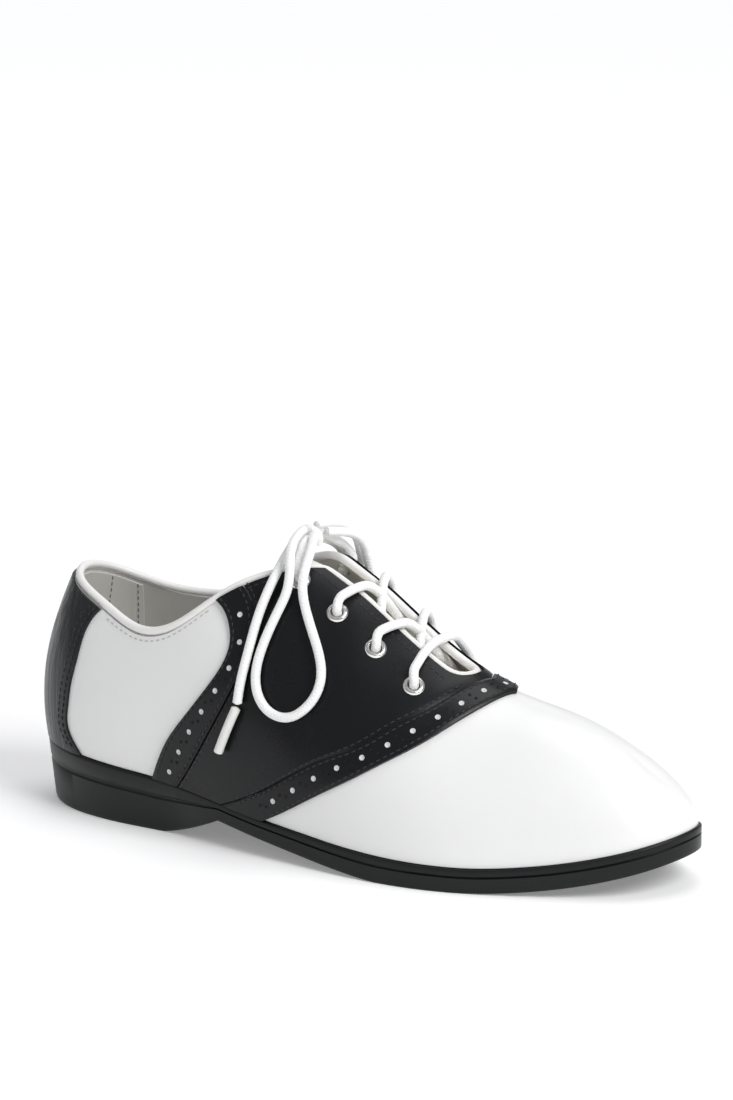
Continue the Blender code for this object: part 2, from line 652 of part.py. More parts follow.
def make_eyelets(material):
    """Turned metal ring with a barrel through the facing and a flange on its face."""
    leather = OVERLAY_GAP + SADDLE_THICKNESS
    face, rim = leather + GAP, EYELET_BORE + EYELET_WALL
    profile = [(EYELET_BORE, face + EYELET_FLANGE), (EYELET_RADIUS - EYELET_FLANGE, face + EYELET_FLANGE),
               (EYELET_RADIUS, face), (rim, face), (rim, -WALL), (EYELET_BORE, -WALL)]
    names = {-1: "lateral", 1: "medial"}
    for side, number, place, normal in eyelet_spots():
        shape = bmesh.new()
        points = [shape.verts.new((r, 0, z)) for r, z in profile]
        ring = [shape.edges.new((points[i], points[(i + 1) % len(points)])) for i in range(len(points))]
        bmesh.ops.spin(shape, geom=points + ring, cent=(0, 0, 0), axis=(0, 0, 1), angle=2 * math.pi,
                       steps=RING_STEPS, use_merge=True)
        bmesh.ops.recalc_face_normals(shape, faces=shape.faces)
        mesh = bpy.data.meshes.new("eyelet")
        shape.to_mesh(mesh)
        shape.free()
        smooth_shade(mesh)
        eyelet = add_object(f"eyelet_{names[side]}_{number + 1}", mesh, material)
        eyelet.matrix_world = turned_to(normal, place)


def instep_point(x, across, height):
    """Point at x and at a signed distance across, at a height over the instep's face."""
    u = float(round_at(x))
    for _ in range(4):
        point = under_instep(u, across, -height)
        u += (x - float(point[0])) / OUTSOLE_LENGTH
    return point


def smooth_line(points, spacing):
    """Points a like distance apart on a smooth curve through the points."""
    points = np.asarray(points, float)
    walk = np.concatenate([[0], np.cumsum(np.linalg.norm(np.diff(points, axis=0), axis=1))])
    curve = natural_spline(walk, points)
    return evenly(curve(np.linspace(0, walk[-1], 400)), spacing, False)


def strand_line(side, start, end, dips, back=0.0):
    """Middle line of a strand from eyelet start to eyelet end of the other side, drawn back in the middle."""
    over = OVERLAY_GAP + SADDLE_THICKNESS + EYELET_FLANGE + 2 * GAP + LACE_RADIUS
    under = -(0.5 * WALL + BINDING_RADIUS + GAP + LACE_RADIUS)
    (start_x, start_half), (end_x, end_half) = eyelet_plan(start), eyelet_plan(end)
    points = []
    for dip in dips:
        half = start_half if dip.across < 0 else end_half
        x = start_x + (end_x - start_x) * 0.5 * (dip.across + 1) - back * (1 - abs(dip.across))
        points.append(instep_point(x, -side * dip.across * half, dip.over * over + dip.under * under))
    return smooth_line(points, CORD_STEP)


def keep_as_cutter(cutter):
    cutter.hide_render = True
    cutter.display_type = "WIRE"
    CUTTERS.objects.link(cutter)
    return cutter


def solid_tube(name, points, material):
    """Tube as a mesh, for joining with another."""
    curve = tube(name + "_line", points, LACE_RADIUS, material)
    mesh = bpy.data.meshes.new_from_object(curve)
    bpy.data.objects.remove(curve)
    return add_object(name, mesh, material)


def make_lacing(material):
    """Bar between the lowest eyelets, two crossings, and the strand from the top eyelets under the knot."""
    tube("lace_bar", strand_line(-1, EYELET_COUNT - 1, EYELET_COUNT - 1, BAR_DIPS), LACE_RADIUS, material)
    for name, pair in (("lace_cross_low", 2), ("lace_cross_high", 1)):
        first = solid_tube(name, strand_line(-1, pair, pair + 1, CROSS_DIPS), material)
        second = solid_tube(name + "_second", strand_line(1, pair, pair + 1, CROSS_DIPS), material)
        SHOE.objects.unlink(second)
        keep_as_cutter(second)
        join = first.modifiers.new("crossing", "BOOLEAN")
        join.operation = "UNION"
        join.object = second
        join.solver = "EXACT"
    tube("lace_top", top_strand(), LACE_RADIUS, material)


def top_strand():
    """Middle line of the strand between the top eyelets, which the knot is tied round."""
    return strand_line(-1, 0, 0, TOP_DIPS, eyelet_plan(0)[0] - KNOT_ALONG)


def hang_points(side, hangs):
    return [raised(side, hang.round, hang.up, hang.stand * 2 * LACE_RADIUS) for hang in hangs]


def make_bow(material, tip_material):
    """Knot, and on each side of it a loop and an end with its aglet."""
    strand = top_strand()

    def round_knot(degrees, across):
        angle = math.radians(degrees)
        x, z = (np.interp(across, strand[:, 1], strand[:, axis]) for axis in (0, 2))
        return np.array([x + LACE_AWAY * math.cos(angle), across, z + LACE_AWAY * math.sin(angle)])
    turn = [round_knot(angle, 0) for angle in np.linspace(-25, 205, 24)]
    tube("lace_knot", smooth_line(turn, CORD_STEP), LACE_RADIUS, material)
    for name, side in (("lateral", -1), ("medial", 1)):
        front, back, low = (round_knot(angle, side * (LACE_AWAY + GAP)) for angle in (32, 102, 178))
        tube(f"lace_loop_{name}", smooth_line([front, *hang_points(side, LOOP_HANGS), back], 2 * CORD_STEP),
             LACE_RADIUS, material)
        tube(f"lace_end_{name}", smooth_line([low, *hang_points(side, END_HANGS)], 2 * CORD_STEP),
             LACE_RADIUS, material)
        tip = smooth_line(hang_points(side, AGLET_HANGS), 2 * CORD_STEP)
        tube(f"aglet_{name}", tip, AGLET_RADIUS, tip_material)


def make_hole_cutter():
    """Drills for the eyelets' holes."""
    radius = EYELET_BORE + EYELET_WALL + GAP
    shape = bmesh.new()
    for side, number, place, normal in eyelet_spots():
        bmesh.ops.create_cone(shape, cap_ends=True, segments=DRILL_STEPS, radius1=radius, radius2=radius,
                              depth=DRILL_LENGTH, matrix=turned_to(normal, place))
    mesh = bpy.data.meshes.new("eyelet_drills")
    shape.to_mesh(mesh)
    shape.free()
    return keep_as_cutter(bpy.data.objects.new("eyelet_drills", mesh))


def make_throat_cutter():
    """Upright prism through the throat: a slot with a round front end."""
    half = THROAT_HALF_GAP + EDGE_BACK
    centre = float(length_at(THROAT_END)) + EDGE_BACK - half
    back = float(length_at(EYELET_FIRST)) - 2 * half
    outline = [(centre + half * math.cos(angle), half * math.sin(angle))
               for angle in np.linspace(-math.pi / 2, math.pi / 2, 11)]
    outline += [(back, half), (back, -half)]
    shape = bmesh.new()
    floor = [shape.verts.new((x, y, SOLE_EDGE + 0.3 * UPPER_HEIGHT)) for x, y in outline]
    face = shape.faces.new(floor[::-1])
    raised_face = bmesh.ops.extrude_face_region(shape, geom=[face])["geom"]
    top = [item for item in raised_face if isinstance(item, bmesh.types.BMVert)]
    bmesh.ops.translate(shape, verts=top, vec=(0, 0, UPPER_HEIGHT))
    bmesh.ops.recalc_face_normals(shape, faces=shape.faces)
    mesh = bpy.data.meshes.new("throat_slot")
    shape.to_mesh(mesh)
    shape.free()
    return keep_as_cutter(bpy.data.objects.new("throat_slot", mesh))


def cut(piece, cutter):
    hole = piece.modifiers.new("holes", "BOOLEAN")
    hole.operation = "DIFFERENCE"
    hole.object = cutter
    hole.solver = "EXACT"


def material(name, colour, roughness, metallic=0.0):
    made = bpy.data.materials.new(name)
    made.use_nodes = True
    shader = made.node_tree.nodes["Principled BSDF"]
    shader.inputs["Base Color"].default_value = (*colour, 1)
    shader.inputs["Roughness"].default_value = roughness
    shader.inputs["Metallic"].default_value = metallic
    return made


def clear():
    for old in list(bpy.data.objects):
        bpy.data.objects.remove(old)


def collection(name):
    made = bpy.data.collections.new(name)
    bpy.context.scene.collection.children.link(made)
    return made


clear()
SHOE = collection("saddle_shoe")
CUTTERS = collection("saddle_shoe_cutters")


def place_shoe():
    """Parents every piece and cutter to an empty on the last's axis."""
    axis = bpy.data.objects.new("last_axis", None)
    axis.location = AXIS_PLACE
    SHOE.objects.link(axis)
    for group in (SHOE, CUTTERS):
        for piece in group.objects:
            if piece is not axis:
                piece.parent = axis


def main():
    white = material("white_leather", (0.80, 0.79, 0.76), 0.35)
    black = material("black_leather", (0.02, 0.02, 0.023), 0.32)
    rubber = material("black_sole", (0.015, 0.015, 0.016), 0.4)
    lining = material("lining", (0.62, 0.60, 0.56), 0.7)
    piping = material("white_piping", (0.85, 0.84, 0.81), 0.4)
    metal = material("eyelet_metal", (0.75, 0.73, 0.68), 0.25, 1.0)
    lace = material("white_lace", (0.86, 0.86, 0.84), 0.75)
    tip = material("clear_aglet", (0.80, 0.80, 0.76), 0.2)
    make_outsole(rubber)
    make_insole(lining)
    upper = make_upper(white)
    saddle = make_saddle(black)
    make_bands(black)
    make_heel_strip(black)
    make_binding(piping)
    make_tongue(white)
    make_eyelets(metal)
    make_lacing(lace)
    make_bow(lace, tip)
    drills, slot = make_hole_cutter(), make_throat_cutter()
    for piece in (upper, saddle):
        cut(piece, slot)
        cut(piece, drills)
    place_shoe()


main()
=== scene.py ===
import math
from collections import namedtuple

import bmesh
import bpy
import numpy as np
from mathutils import Matrix, Vector
from mathutils.kdtree import KDTree


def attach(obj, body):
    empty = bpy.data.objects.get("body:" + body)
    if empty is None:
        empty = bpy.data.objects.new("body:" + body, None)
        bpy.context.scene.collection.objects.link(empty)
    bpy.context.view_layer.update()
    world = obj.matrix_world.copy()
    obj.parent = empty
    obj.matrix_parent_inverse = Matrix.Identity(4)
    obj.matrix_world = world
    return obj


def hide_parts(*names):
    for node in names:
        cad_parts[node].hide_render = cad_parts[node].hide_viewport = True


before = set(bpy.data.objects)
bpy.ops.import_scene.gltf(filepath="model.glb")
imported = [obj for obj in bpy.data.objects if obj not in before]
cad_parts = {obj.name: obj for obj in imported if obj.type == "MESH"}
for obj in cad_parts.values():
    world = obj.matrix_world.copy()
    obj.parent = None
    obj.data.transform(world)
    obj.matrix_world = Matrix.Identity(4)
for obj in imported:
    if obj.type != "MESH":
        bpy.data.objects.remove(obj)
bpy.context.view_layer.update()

# sizes in metres
outsoleLength = 0.256
ballHalfWidth = 0.043    # half of the outsole's width at the ball
upperHeight = 0.0825    # height of the facings above the sole's rim
soleEdge = 0.0084    # height of the sole's edge at the ball and the toe
heelLift = 0.0156    # how much higher the rim stands at the back of the heel
toeSpring = 0.0124    # height of the sole's underside at the tip of the toe
archRise = 0.0096    # height of the underside at the top of the arch
gap = 0.0003    # space between pieces that touch
overlayGap = 0.0004    # between the upper and what is stitched on it
featherInset = 0.0012    # how far the upper stands in from the edge of the sole
wall = 0.0018    # wall of the upper
saddleThickness = 0.0010
bandThickness = 0.0014
bindingRadius = 0.0014
bindingClearance = 0.0008    # from the binding to the leather's edge
throatHalfGap = 0.0062    # from the middle of the throat to the binding
tongueThickness = 0.0022
tongueHalfWidth = 0.0215
insoleThickness = 0.0026
laceRadius = 0.00165
eyeletRadius = 0.0038
eyeletBore = 0.0022
eyeletWall = 0.0004
eyeletFlange = 0.0007
eyeletCount = 4
eyeletPitch = 0.0154    # along the shoe
eyeletTopHalf = 0.0168    # from the middle to the top eyelet
eyeletLowHalf = 0.0198    # and to the lowest one
laceAway = 0.0038    # from the middle of one lace to the middle of one beside it
knotAlong = -0.0205    # where the knot sits, from the middle of the outsole
cordStep = 2 * laceRadius    # between the points of the lace's tighter curves
agletRadius = 0.0018
edgeBack = 2 * bindingRadius + bindingClearance
grooveDepth = 0.0006    # of the line round the sole's edge
edgeBreak = 0.0006    # of the sole's corners
heelTaper = 0.0025    # the heel is this much smaller all round at the floor
axisPlace = (0.0006, 0.0020, 0.0)    # puts the origin under the middle of the whole shoe
# places along the shoe, as shares of the outsole's length
breast = 0.25    # front corner of the heel
archTop = 0.357
archEnd = 0.62    # the forefoot touches the floor from here
springStart = 0.727
throatEnd = 0.672    # front end of the throat
eyeletFirst = 0.4437    # top eyelet
tongueStart = 0.405
tongueEnd = 0.715
smoothCorner = 0.012    # roundness of the corner between collar and facing, in shares of a section
littleRound = 0.001    # steps of the parameters, for slopes of the last
littleUp = 0.03

# sections of the last, heel to toe: along and topAlong are shares of the length, the crests of the upper's
# height, and the other widths of the ball's half width
Section = namedtuple("Section", "along lateral medial topAlong topLateral topMedial "
                                "crestLateral crestMedial rise lean out down")
sections = [Section(*row) for row in (
    (0.000, 0.000, 0.000, 0.0566, 0.000, 0.000, 0.771, 0.771, 0.40, 0.16, 0.186, 0.558),
    (0.045, 0.450, 0.450, 0.0800, 0.314, 0.314, 0.749, 0.737, 0.40, 0.16, 0.186, 0.558),
    (0.135, 0.680, 0.680, 0.1445, 0.500, 0.523, 0.690, 0.675, 0.40, 0.16, 0.163, 0.512),
    (0.200, 0.735, 0.710, 0.2070, 0.619, 0.628, 0.641, 0.668, 0.40, 0.16, 0.140, 0.465),
    (0.270, 0.770, 0.720, 0.2734, 0.658, 0.651, 0.704, 0.726, 0.40, 0.15, 0.163, 0.465),
    (0.340, 0.840, 0.690, 0.3438, 0.581, 0.581, 0.885, 0.885, 0.42, 0.13, 0.256, 0.512),
    (0.420, 0.930, 0.660, 0.4141, 0.349, 0.349, 1.014, 1.014, 0.44, 0.10, 0.395, 0.372),
    (0.490, 0.990, 0.700, 0.4805, 0.116, 0.116, 1.033, 1.033, 0.46, 0.07, 0.465, 0.140),
    (0.560, 1.050, 0.780, 0.5547, 0.000, 0.000, 0.909, 0.909, 0.46, 0.05, 0.442, 0.000),
    (0.690, 1.060, 0.950, 0.6797, 0.000, 0.000, 0.684, 0.684, 0.46, 0.05, 0.326, 0.000),
    (0.810, 0.860, 0.960, 0.7891, 0.000, 0.000, 0.563, 0.563, 0.46, 0.08, 0.372, 0.000),
    (0.905, 0.640, 0.740, 0.8516, 0.000, 0.000, 0.456, 0.456, 0.46, 0.08, 0.302, 0.000),
    (0.972, 0.360, 0.420, 0.8945, 0.000, 0.000, 0.334, 0.334, 0.46, 0.08, 0.233, 0.000),
    (1.000, -0.050, 0.050, 0.9141, 0.000, 0.000, 0.263, 0.263, 0.44, 0.06, 0.209, 0.000),
)]
sideNames = (("lateral", -1), ("medial", 1))
collarCloses = 6    # section from which the collar line runs in to the ridge
ridgeStarts = 8    # section from which the upper end lies on the ridge
fanStarts = 9    # section from which the sections fan out round the toe
fanFull = 12
# share of the heel lift at shares of the length
rimLift = [(0.0, 1.0), (0.13, 0.86), (0.266, 0.692), (0.434, 0.325), (0.5, 0.205), (0.6, 0.06), (0.7, 0.0),
           (0.8, 0.0), (1.0, 0.0)]
# lines of the saddle and the heel strip: how far up a section, and how far round from heel to toe
SaddleLine = namedtuple("SaddleLine", "up rearEdge rearSeam frontSeam frontEdge")
saddleLines = [SaddleLine(*row) for row in (
    (0.00, 0.270, 0.314, 0.392, 0.459),
    (0.15, 0.287, 0.347, 0.497, 0.560),
    (0.30, 0.312, 0.380, 0.583, 0.618),
    (0.45, 0.357, 0.411, 0.625, 0.656),
    (0.60, 0.397, 0.432, 0.655, 0.682),
    (0.75, 0.397, 0.431, 0.674, 0.702),
    (0.90, 0.379, 0.414, 0.687, 0.716),
    (1.00, 0.362, 0.398, 0.693, 0.723),
)]
heelStripLine = [(0.0, 0.137), (0.10, 0.118), (0.25, 0.117), (0.40, 0.121), (0.60, 0.127), (0.80, 0.132),
                 (0.93, 0.143), (1.0, 0.153)]


def naturalSpline(knots, values):
    knots = np.asarray(knots, float)
    values = np.asarray(values, float)
    count = len(knots)
    step = np.diff(knots)
    matrix = np.eye(count)
    right = np.zeros(values.shape)
    for i in range(1, count - 1):
        matrix[i, i - 1:i + 2] = step[i - 1], 2 * (step[i - 1] + step[i]), step[i]
        right[i] = 6 * ((values[i + 1] - values[i]) / step[i] - (values[i] - values[i - 1]) / step[i - 1])
    bend = np.linalg.solve(matrix, right)

    def curve(at):
        at = np.asarray(at, float)
        i = np.clip(np.searchsorted(knots, at) - 1, 0, count - 2)
        h, before, after = step[i], knots[i + 1] - at, at - knots[i]
        if values.ndim > 1:
            h, before, after = h[..., None], before[..., None], after[..., None]
        bent = (bend[i] * before ** 3 + bend[i + 1] * after ** 3) / (6 * h)
        behind = (values[i] / h - bend[i] * h / 6) * before
        return bent + behind + (values[i + 1] / h - bend[i + 1] * h / 6) * after
    return curve


def splineOf(rows):
    return naturalSpline([row[0] for row in rows], [row[1] for row in rows])


def ease(start, end, at):
    # 0 before start, 1 after end
    t = np.clip((np.asarray(at, float) - start) / (end - start), 0, 1)
    return t * t * t * (t * (6 * t - 15) + 10)


def column(name):
    return np.array([getattr(section, name) for section in sections])


def lengthAt(share):
    return (np.asarray(share) - 0.5) * outsoleLength


def sectionKnots():
    x = lengthAt(column("along"))
    chords = [np.hypot(np.diff(x), np.diff(column(side) * ballHalfWidth)) for side in ("lateral", "medial")]
    walk = np.cumsum(np.sqrt(chords[0]) + np.sqrt(chords[1]))
    return np.concatenate([[0], walk / walk[-1]])


sectionPlaces = sectionKnots()


def loopSpline(medial, lateral):
    # closed curve, medial side forwards and lateral side back
    points = np.concatenate([medial, lateral[-2:0:-1]])
    knots = np.concatenate([sectionPlaces, 2 - sectionPlaces[-2:0:-1]])
    points = np.concatenate([points[-5:], points, points[:6]])
    knots = np.concatenate([knots[-5:] - 2, knots, knots[:6] + 2])
    curve = naturalSpline(knots, points)
    return lambda side, u: curve(np.where(np.asarray(side) > 0, u, 2 - np.asarray(u)))


def evenLoop(name):
    return loopSpline(column(name), column(name))


soleOutline = loopSpline(np.stack([lengthAt(column("along")), column("medial") * ballHalfWidth], 1),
                         np.stack([lengthAt(column("along")), -column("lateral") * ballHalfWidth], 1))
topAlongCurve = evenLoop("topAlong")
topAcrossCurve = loopSpline(column("topMedial"), -column("topLateral"))
topCrestCurve = loopSpline(column("crestMedial"), column("crestLateral"))
riseCurve, leanCurve, outCurve, downCurve = (evenLoop(name) for name in ("rise", "lean", "out", "down"))
rimLiftCurve = splineOf(rimLift)
# height of a lace strand on its way across the throat, in shares of its heights over and under the leather
Dip = namedtuple("Dip", "across over under")
crossDips = [Dip(-1.0, 1.0, 0.0), Dip(-0.82, 1.0, 0.0), Dip(-0.62, 0.85, 0.0), Dip(-0.50, 0.78, 0.0),
             Dip(-0.36, 0.62, 0.0), Dip(-0.18, 0.30, 0.1), Dip(0.0, 0.0, 0.3), Dip(0.18, 0.0, 0.72),
             Dip(0.34, 0.0, 1.0), Dip(0.50, 0.0, 1.0), Dip(0.75, 0.0, 1.0), Dip(0.95, 0.0, 1.0)]
barDips = [Dip(-1.0, 1.0, 0.0), Dip(-0.80, 1.0, 0.0), Dip(-0.62, 0.92, 0.0), Dip(-0.48, 0.88, 0.0),
           Dip(-0.30, 0.70, 0.0), Dip(0.0, 0.50, 0.0), Dip(0.30, 0.70, 0.0), Dip(0.48, 0.88, 0.0),
           Dip(0.62, 0.92, 0.0), Dip(0.80, 1.0, 0.0), Dip(1.0, 1.0, 0.0)]
topDips = [dip._replace(over=0.16) if dip.across == 0 else dip for dip in barDips]
# where the bow hangs: how far round and up the last, and its height over it in lace diameters
Hang = namedtuple("Hang", "round up stand")
loopHangs = [Hang(0.481, 0.920, 2.70), Hang(0.486, 0.812, 2.10), Hang(0.500, 0.690, 1.35),
             Hang(0.518, 0.598, 1.20), Hang(0.535, 0.522, 1.18), Hang(0.541, 0.457, 1.18),
             Hang(0.530, 0.382, 1.18), Hang(0.500, 0.334, 1.18), Hang(0.470, 0.364, 1.18),
             Hang(0.4535, 0.448, 1.18), Hang(0.4555, 0.574, 1.18), Hang(0.467, 0.705, 1.30),
             Hang(0.472, 0.812, 2.10), Hang(0.464, 0.920, 3.20)]
endHangs = [Hang(0.447, 0.905, 1.60), Hang(0.442, 0.742, 1.25), Hang(0.4365, 0.567, 1.20),
            Hang(0.431, 0.459, 1.20), Hang(0.4285, 0.385, 1.20)]
agletHangs = [Hang(0.4280, 0.376, 1.20), Hang(0.4158, 0.306, 1.20), Hang(0.3997, 0.207, 1.20)]


def spring(x):
    start, end = lengthAt(springStart), lengthAt(1.0)
    return toeSpring * np.clip((x - start) / (end - start), 0, None) ** 1.95


def rimHeight(x):
    share = np.clip(x / outsoleLength + 0.5, 0, 1)
    return soleEdge + heelLift * rimLiftCurve(share) + spring(x)


def floorHeight(x):
    share = x / outsoleLength + 0.5
    climb = np.clip((share - breast) / (archTop - breast), 0, 1) ** 1.3
    fall = np.clip((archEnd - share) / (archEnd - archTop), 0, 1) ** 1.2
    return archRise * np.where(share < archTop, climb, fall) + spring(x)


def outward(side, u):
    little = 1e-4
    way = soleOutline(side, u + little) - soleOutline(side, u - little)
    way = way / np.linalg.norm(way, axis=-1, keepdims=True)
    return np.stack([-way[..., 1], way[..., 0]], -1) * side


def feather(side, u):
    flat = soleOutline(side, u) - featherInset * outward(side, u)
    return np.concatenate([flat, rimHeight(flat[..., :1]) + gap], -1)


def topLine(side, u):
    closes, after = sectionPlaces[collarCloses:collarCloses + 2]
    openShare = 1 - ease(closes + 0.3 * (after - closes), sectionPlaces[ridgeStarts], u)
    along = topAlongCurve(side, u)
    along = along * openShare + (1 - openShare) * 0.5 * (along + topAlongCurve(-side, u))
    mine, other = topCrestCurve(side, u), topCrestCurve(-side, u)
    crest = 0.5 * (mine + other) + 0.5 * (mine - other) * openShare
    rim = rimHeight(0.5 * (soleOutline(side, u)[..., 0] + soleOutline(-side, u)[..., 0]))
    return np.stack([lengthAt(along), topAcrossCurve(side, u) * ballHalfWidth * openShare,
                     rim + crest * upperHeight], -1)


def ridgeSlope(u):
    little = 0.008
    u = np.clip(u, sectionPlaces[ridgeStarts], 1)
    back, here = topLine(1, u - little), topLine(1, u)
    return (here[..., 2] - back[..., 2]) / (here[..., 0] - back[..., 0])


def last(side, u, v):
    # the upper's outer face: u goes round from heel (0) to toe (1), v up the section
    u, v = np.broadcast_arrays(np.asarray(u, float), np.asarray(v, float))
    foot, top, way = feather(side, u), topLine(side, u), outward(side, u)
    rise = riseCurve(side, u) * (top[..., 2] - foot[..., 2])
    lean = leanCurve(side, u) * rise
    low = foot + np.stack([way[..., 0] * lean, way[..., 1] * lean, rise], -1)
    roundToe = ease(sectionPlaces[fanStarts], sectionPlaces[fanFull], u)
    turn = roundToe + 1 - ease(sectionPlaces[collarCloses], sectionPlaces[ridgeStarts], u)
    dive = ridgeSlope(u) * way[..., 0] * turn
    reach = outCurve(side, u) * ballHalfWidth
    flatShare = ease(sectionPlaces[ridgeStarts - 1], sectionPlaces[ridgeStarts], u)
    drop = downCurve(side, u) * ballHalfWidth * (1 - flatShare)
    high = top + np.stack([way[..., 0] * turn * reach, way[..., 1] * reach, dive * reach - drop], -1)
    v = v[..., None]
    return foot * (1 - v) ** 3 + 3 * low * v * (1 - v) ** 2 + 3 * high * v * v * (1 - v) + top * v ** 3


def faceNormal(side, u, v):
    u, v = np.broadcast_arrays(np.asarray(u, float), np.asarray(v, float))
    u = np.where(v > 1 - littleRound, np.minimum(u, 1 - 3 * littleRound), u)
    up = last(side, u, v + littleRound) - last(side, u, v - littleRound)
    forward = last(side, u + littleRound, v) - last(side, u - littleRound, v)
    cross = np.cross(up, forward) * side
    return cross / np.linalg.norm(cross, axis=-1, keepdims=True)


def raised(side, u, v, height):
    return last(side, u, v) + height * faceNormal(side, u, v)


def halfWidthV(side, u, half):
    # how far up each section comes within half of the middle of the shoe
    u, half = np.broadcast_arrays(np.asarray(u, float), np.asarray(half, float))
    lowest, halvings = 0.35, 16
    low, high = np.full(u.shape, lowest), np.ones(u.shape)
    for _ in range(halvings):
        middle = 0.5 * (low + high)
        wide = np.abs(last(side, u, middle)[..., 1]) > half
        low, high = np.where(wide, middle, low), np.where(wide, high, middle)
    over = np.abs(topLine(side, u)[..., 1]) - half
    return np.where(over > 0, 1 + over / ballHalfWidth, low)


def walkUp(side, u):
    return np.linalg.norm(topLine(side, u) - last(side, u, 1 - littleUp), axis=-1) / littleUp


def openingV(side, u, back):
    u = np.asarray(u, float)
    top = topLine(side, u)
    collar = 1 - back / walkUp(side, u)
    half = throatHalfGap + back
    front = lengthAt(throatEnd) + back
    toFront = np.clip((front - top[..., 0]) / half, 0, 1)
    facing = halfWidthV(side, u, half * np.sqrt(1 - (1 - toFront) ** 2))
    facing = np.where(u > sectionPlaces[collarCloses - 2], facing, 2)
    soft = -smoothCorner * np.logaddexp(-collar / smoothCorner, -facing / smoothCorner)
    return np.where(u > sectionPlaces[ridgeStarts], facing, soft)


def roundAt(x):
    u = np.linspace(0, 1, 401)
    return np.interp(x, topLine(1, u)[:, 0], u)


def spot(side, x, half):
    # u, v of the point of the instep at x and at a distance half from the middle
    u = float(roundAt(x))
    for _ in range(5):
        v = float(halfWidthV(side, u, half))
        u += (x - float(last(side, u, v)[0])) / outsoleLength
    return u, float(halfWidthV(side, u, half))


def roundList(count):
    # closer at the heel and the toe, where the outline is rounder
    closer, even = 0.45, np.linspace(0, 1, count)
    return closer * 0.5 * (1 - np.cos(math.pi * even)) + (1 - closer) * even


def loopPoints(maker, us):
    return np.concatenate([maker(1, us), maker(-1, us[::-1][1:-1])])


def collarV(side, u, back):
    ridge = (u > sectionPlaces[collarCloses]) & (np.abs(topLine(side, u)[..., 1]) < 0.2 * throatHalfGap)
    return np.where(ridge, 1.0, 1 - back / walkUp(side, u))


def climbTo(limit, ups):
    return ups - (1 - limit) * ups ** 3


def saddleLine(name):
    return naturalSpline([row.up for row in saddleLines], [getattr(row, name) for row in saddleLines])


def insetLine(line, step):
    return lambda ups: line(ups) + step


def acrossGap(side, u):
    walk = np.linalg.norm(last(side, u + 0.01, 0.5) - last(side, u, 0.5)) / 0.01
    return 0.5 * gap / walk


def distances(points):
    # how far along a line each of its points lies
    return np.concatenate([[0], np.cumsum(np.linalg.norm(np.diff(points, axis=0), axis=1))])


def evenly(points, spacing, closed):
    points = np.asarray(points, float)
    if closed:
        points = np.vstack([points, points[:1]])
    walk = distances(points)
    count = max(4, round(walk[-1] / spacing))
    at = np.linspace(0, walk[-1], count, endpoint=False) if closed else np.linspace(0, walk[-1], count + 1)
    return np.stack([np.interp(at, walk, points[:, i]) for i in range(3)], 1)


def tongueDepth(x):
    underLace = 0.5 * wall + bindingRadius + 2 * laceRadius + 2 * gap
    endPlace = lengthAt(throatEnd)
    return underLace + (wall + gap - underLace) * ease(endPlace - 0.010, endPlace + 0.007, x)


def underInstep(u, across, depth):
    # a point under the instep; the open middle is bridged by an arch
    joint = max(throatHalfGap + edgeBack, float(np.abs(topLine(1, u)[1])) * 1.02)
    points = []
    for side in (1, -1):
        half = max(abs(across), joint)
        v = float(halfWidthV(side, u, half))
        points.append(raised(side, u, min(v, 1), -depth))
    sidePoint = points[0] if across > 0 else points[1]
    if abs(across) >= joint:
        return sidePoint
    further = [raised(side, u, min(float(halfWidthV(side, u, joint * 1.1)), 1), -depth) for side in (1, -1)]
    reach = 0.5 * (points[0][1] - points[1][1])
    fall = 0.5 * sum((near[2] - far[2]) / abs(near[1] - far[1]) for near, far in zip(points, further))
    level = 0.5 * (points[0] + points[1])
    place = across / joint * reach
    return np.array([level[0], place, level[2] + fall * (reach ** 2 - place ** 2) / (2 * reach)])


def eyeletPlan(number):
    share = number / (eyeletCount - 1)
    half = eyeletTopHalf + (eyeletLowHalf - eyeletTopHalf) * share
    return float(lengthAt(eyeletFirst)) + number * eyeletPitch, half


def instepPoint(x, across, height):
    u = float(roundAt(x))
    for _ in range(3):
        point = underInstep(u, across, -height)
        u += (x - float(point[0])) / outsoleLength
    return point


def smoothLine(points, spacing):
    points = np.asarray(points, float)
    walk = distances(points)
    curve = naturalSpline(walk, points)
    return evenly(curve(np.linspace(0, walk[-1], 400)), spacing, False)


def strandLine(side, start, end, dips, back=0.0):
    over = overlayGap + saddleThickness + eyeletFlange + 2 * gap + laceRadius
    under = -(0.5 * wall + bindingRadius + gap + laceRadius)
    (startX, startHalf), (endX, endHalf) = eyeletPlan(start), eyeletPlan(end)
    points = []
    for dip in dips:
        half = startHalf if dip.across < 0 else endHalf
        x = startX + (endX - startX) * 0.5 * (dip.across + 1) - back * (1 - abs(dip.across))
        points.append(instepPoint(x, -side * dip.across * half, dip.over * over + dip.under * under))
    return smoothLine(points, cordStep)


def topStrand():
    return strandLine(-1, 0, 0, topDips, eyeletPlan(0)[0] - knotAlong)


def hangPoints(side, hangs):
    return [raised(side, hang.round, hang.up, hang.stand * 2 * laceRadius) for hang in hangs]


shift = np.array(axisPlace)
scene = bpy.context.scene


def newObject(name, data):
    made = bpy.data.objects.new(name, data)
    scene.collection.objects.link(made)
    return made


def appliedMesh(piece):
    # what its modifiers make of a piece; the piece itself goes
    bpy.context.view_layer.update()
    made = bpy.data.meshes.new_from_object(piece.evaluated_get(bpy.context.evaluated_depsgraph_get()))
    bpy.data.objects.remove(piece)
    return made


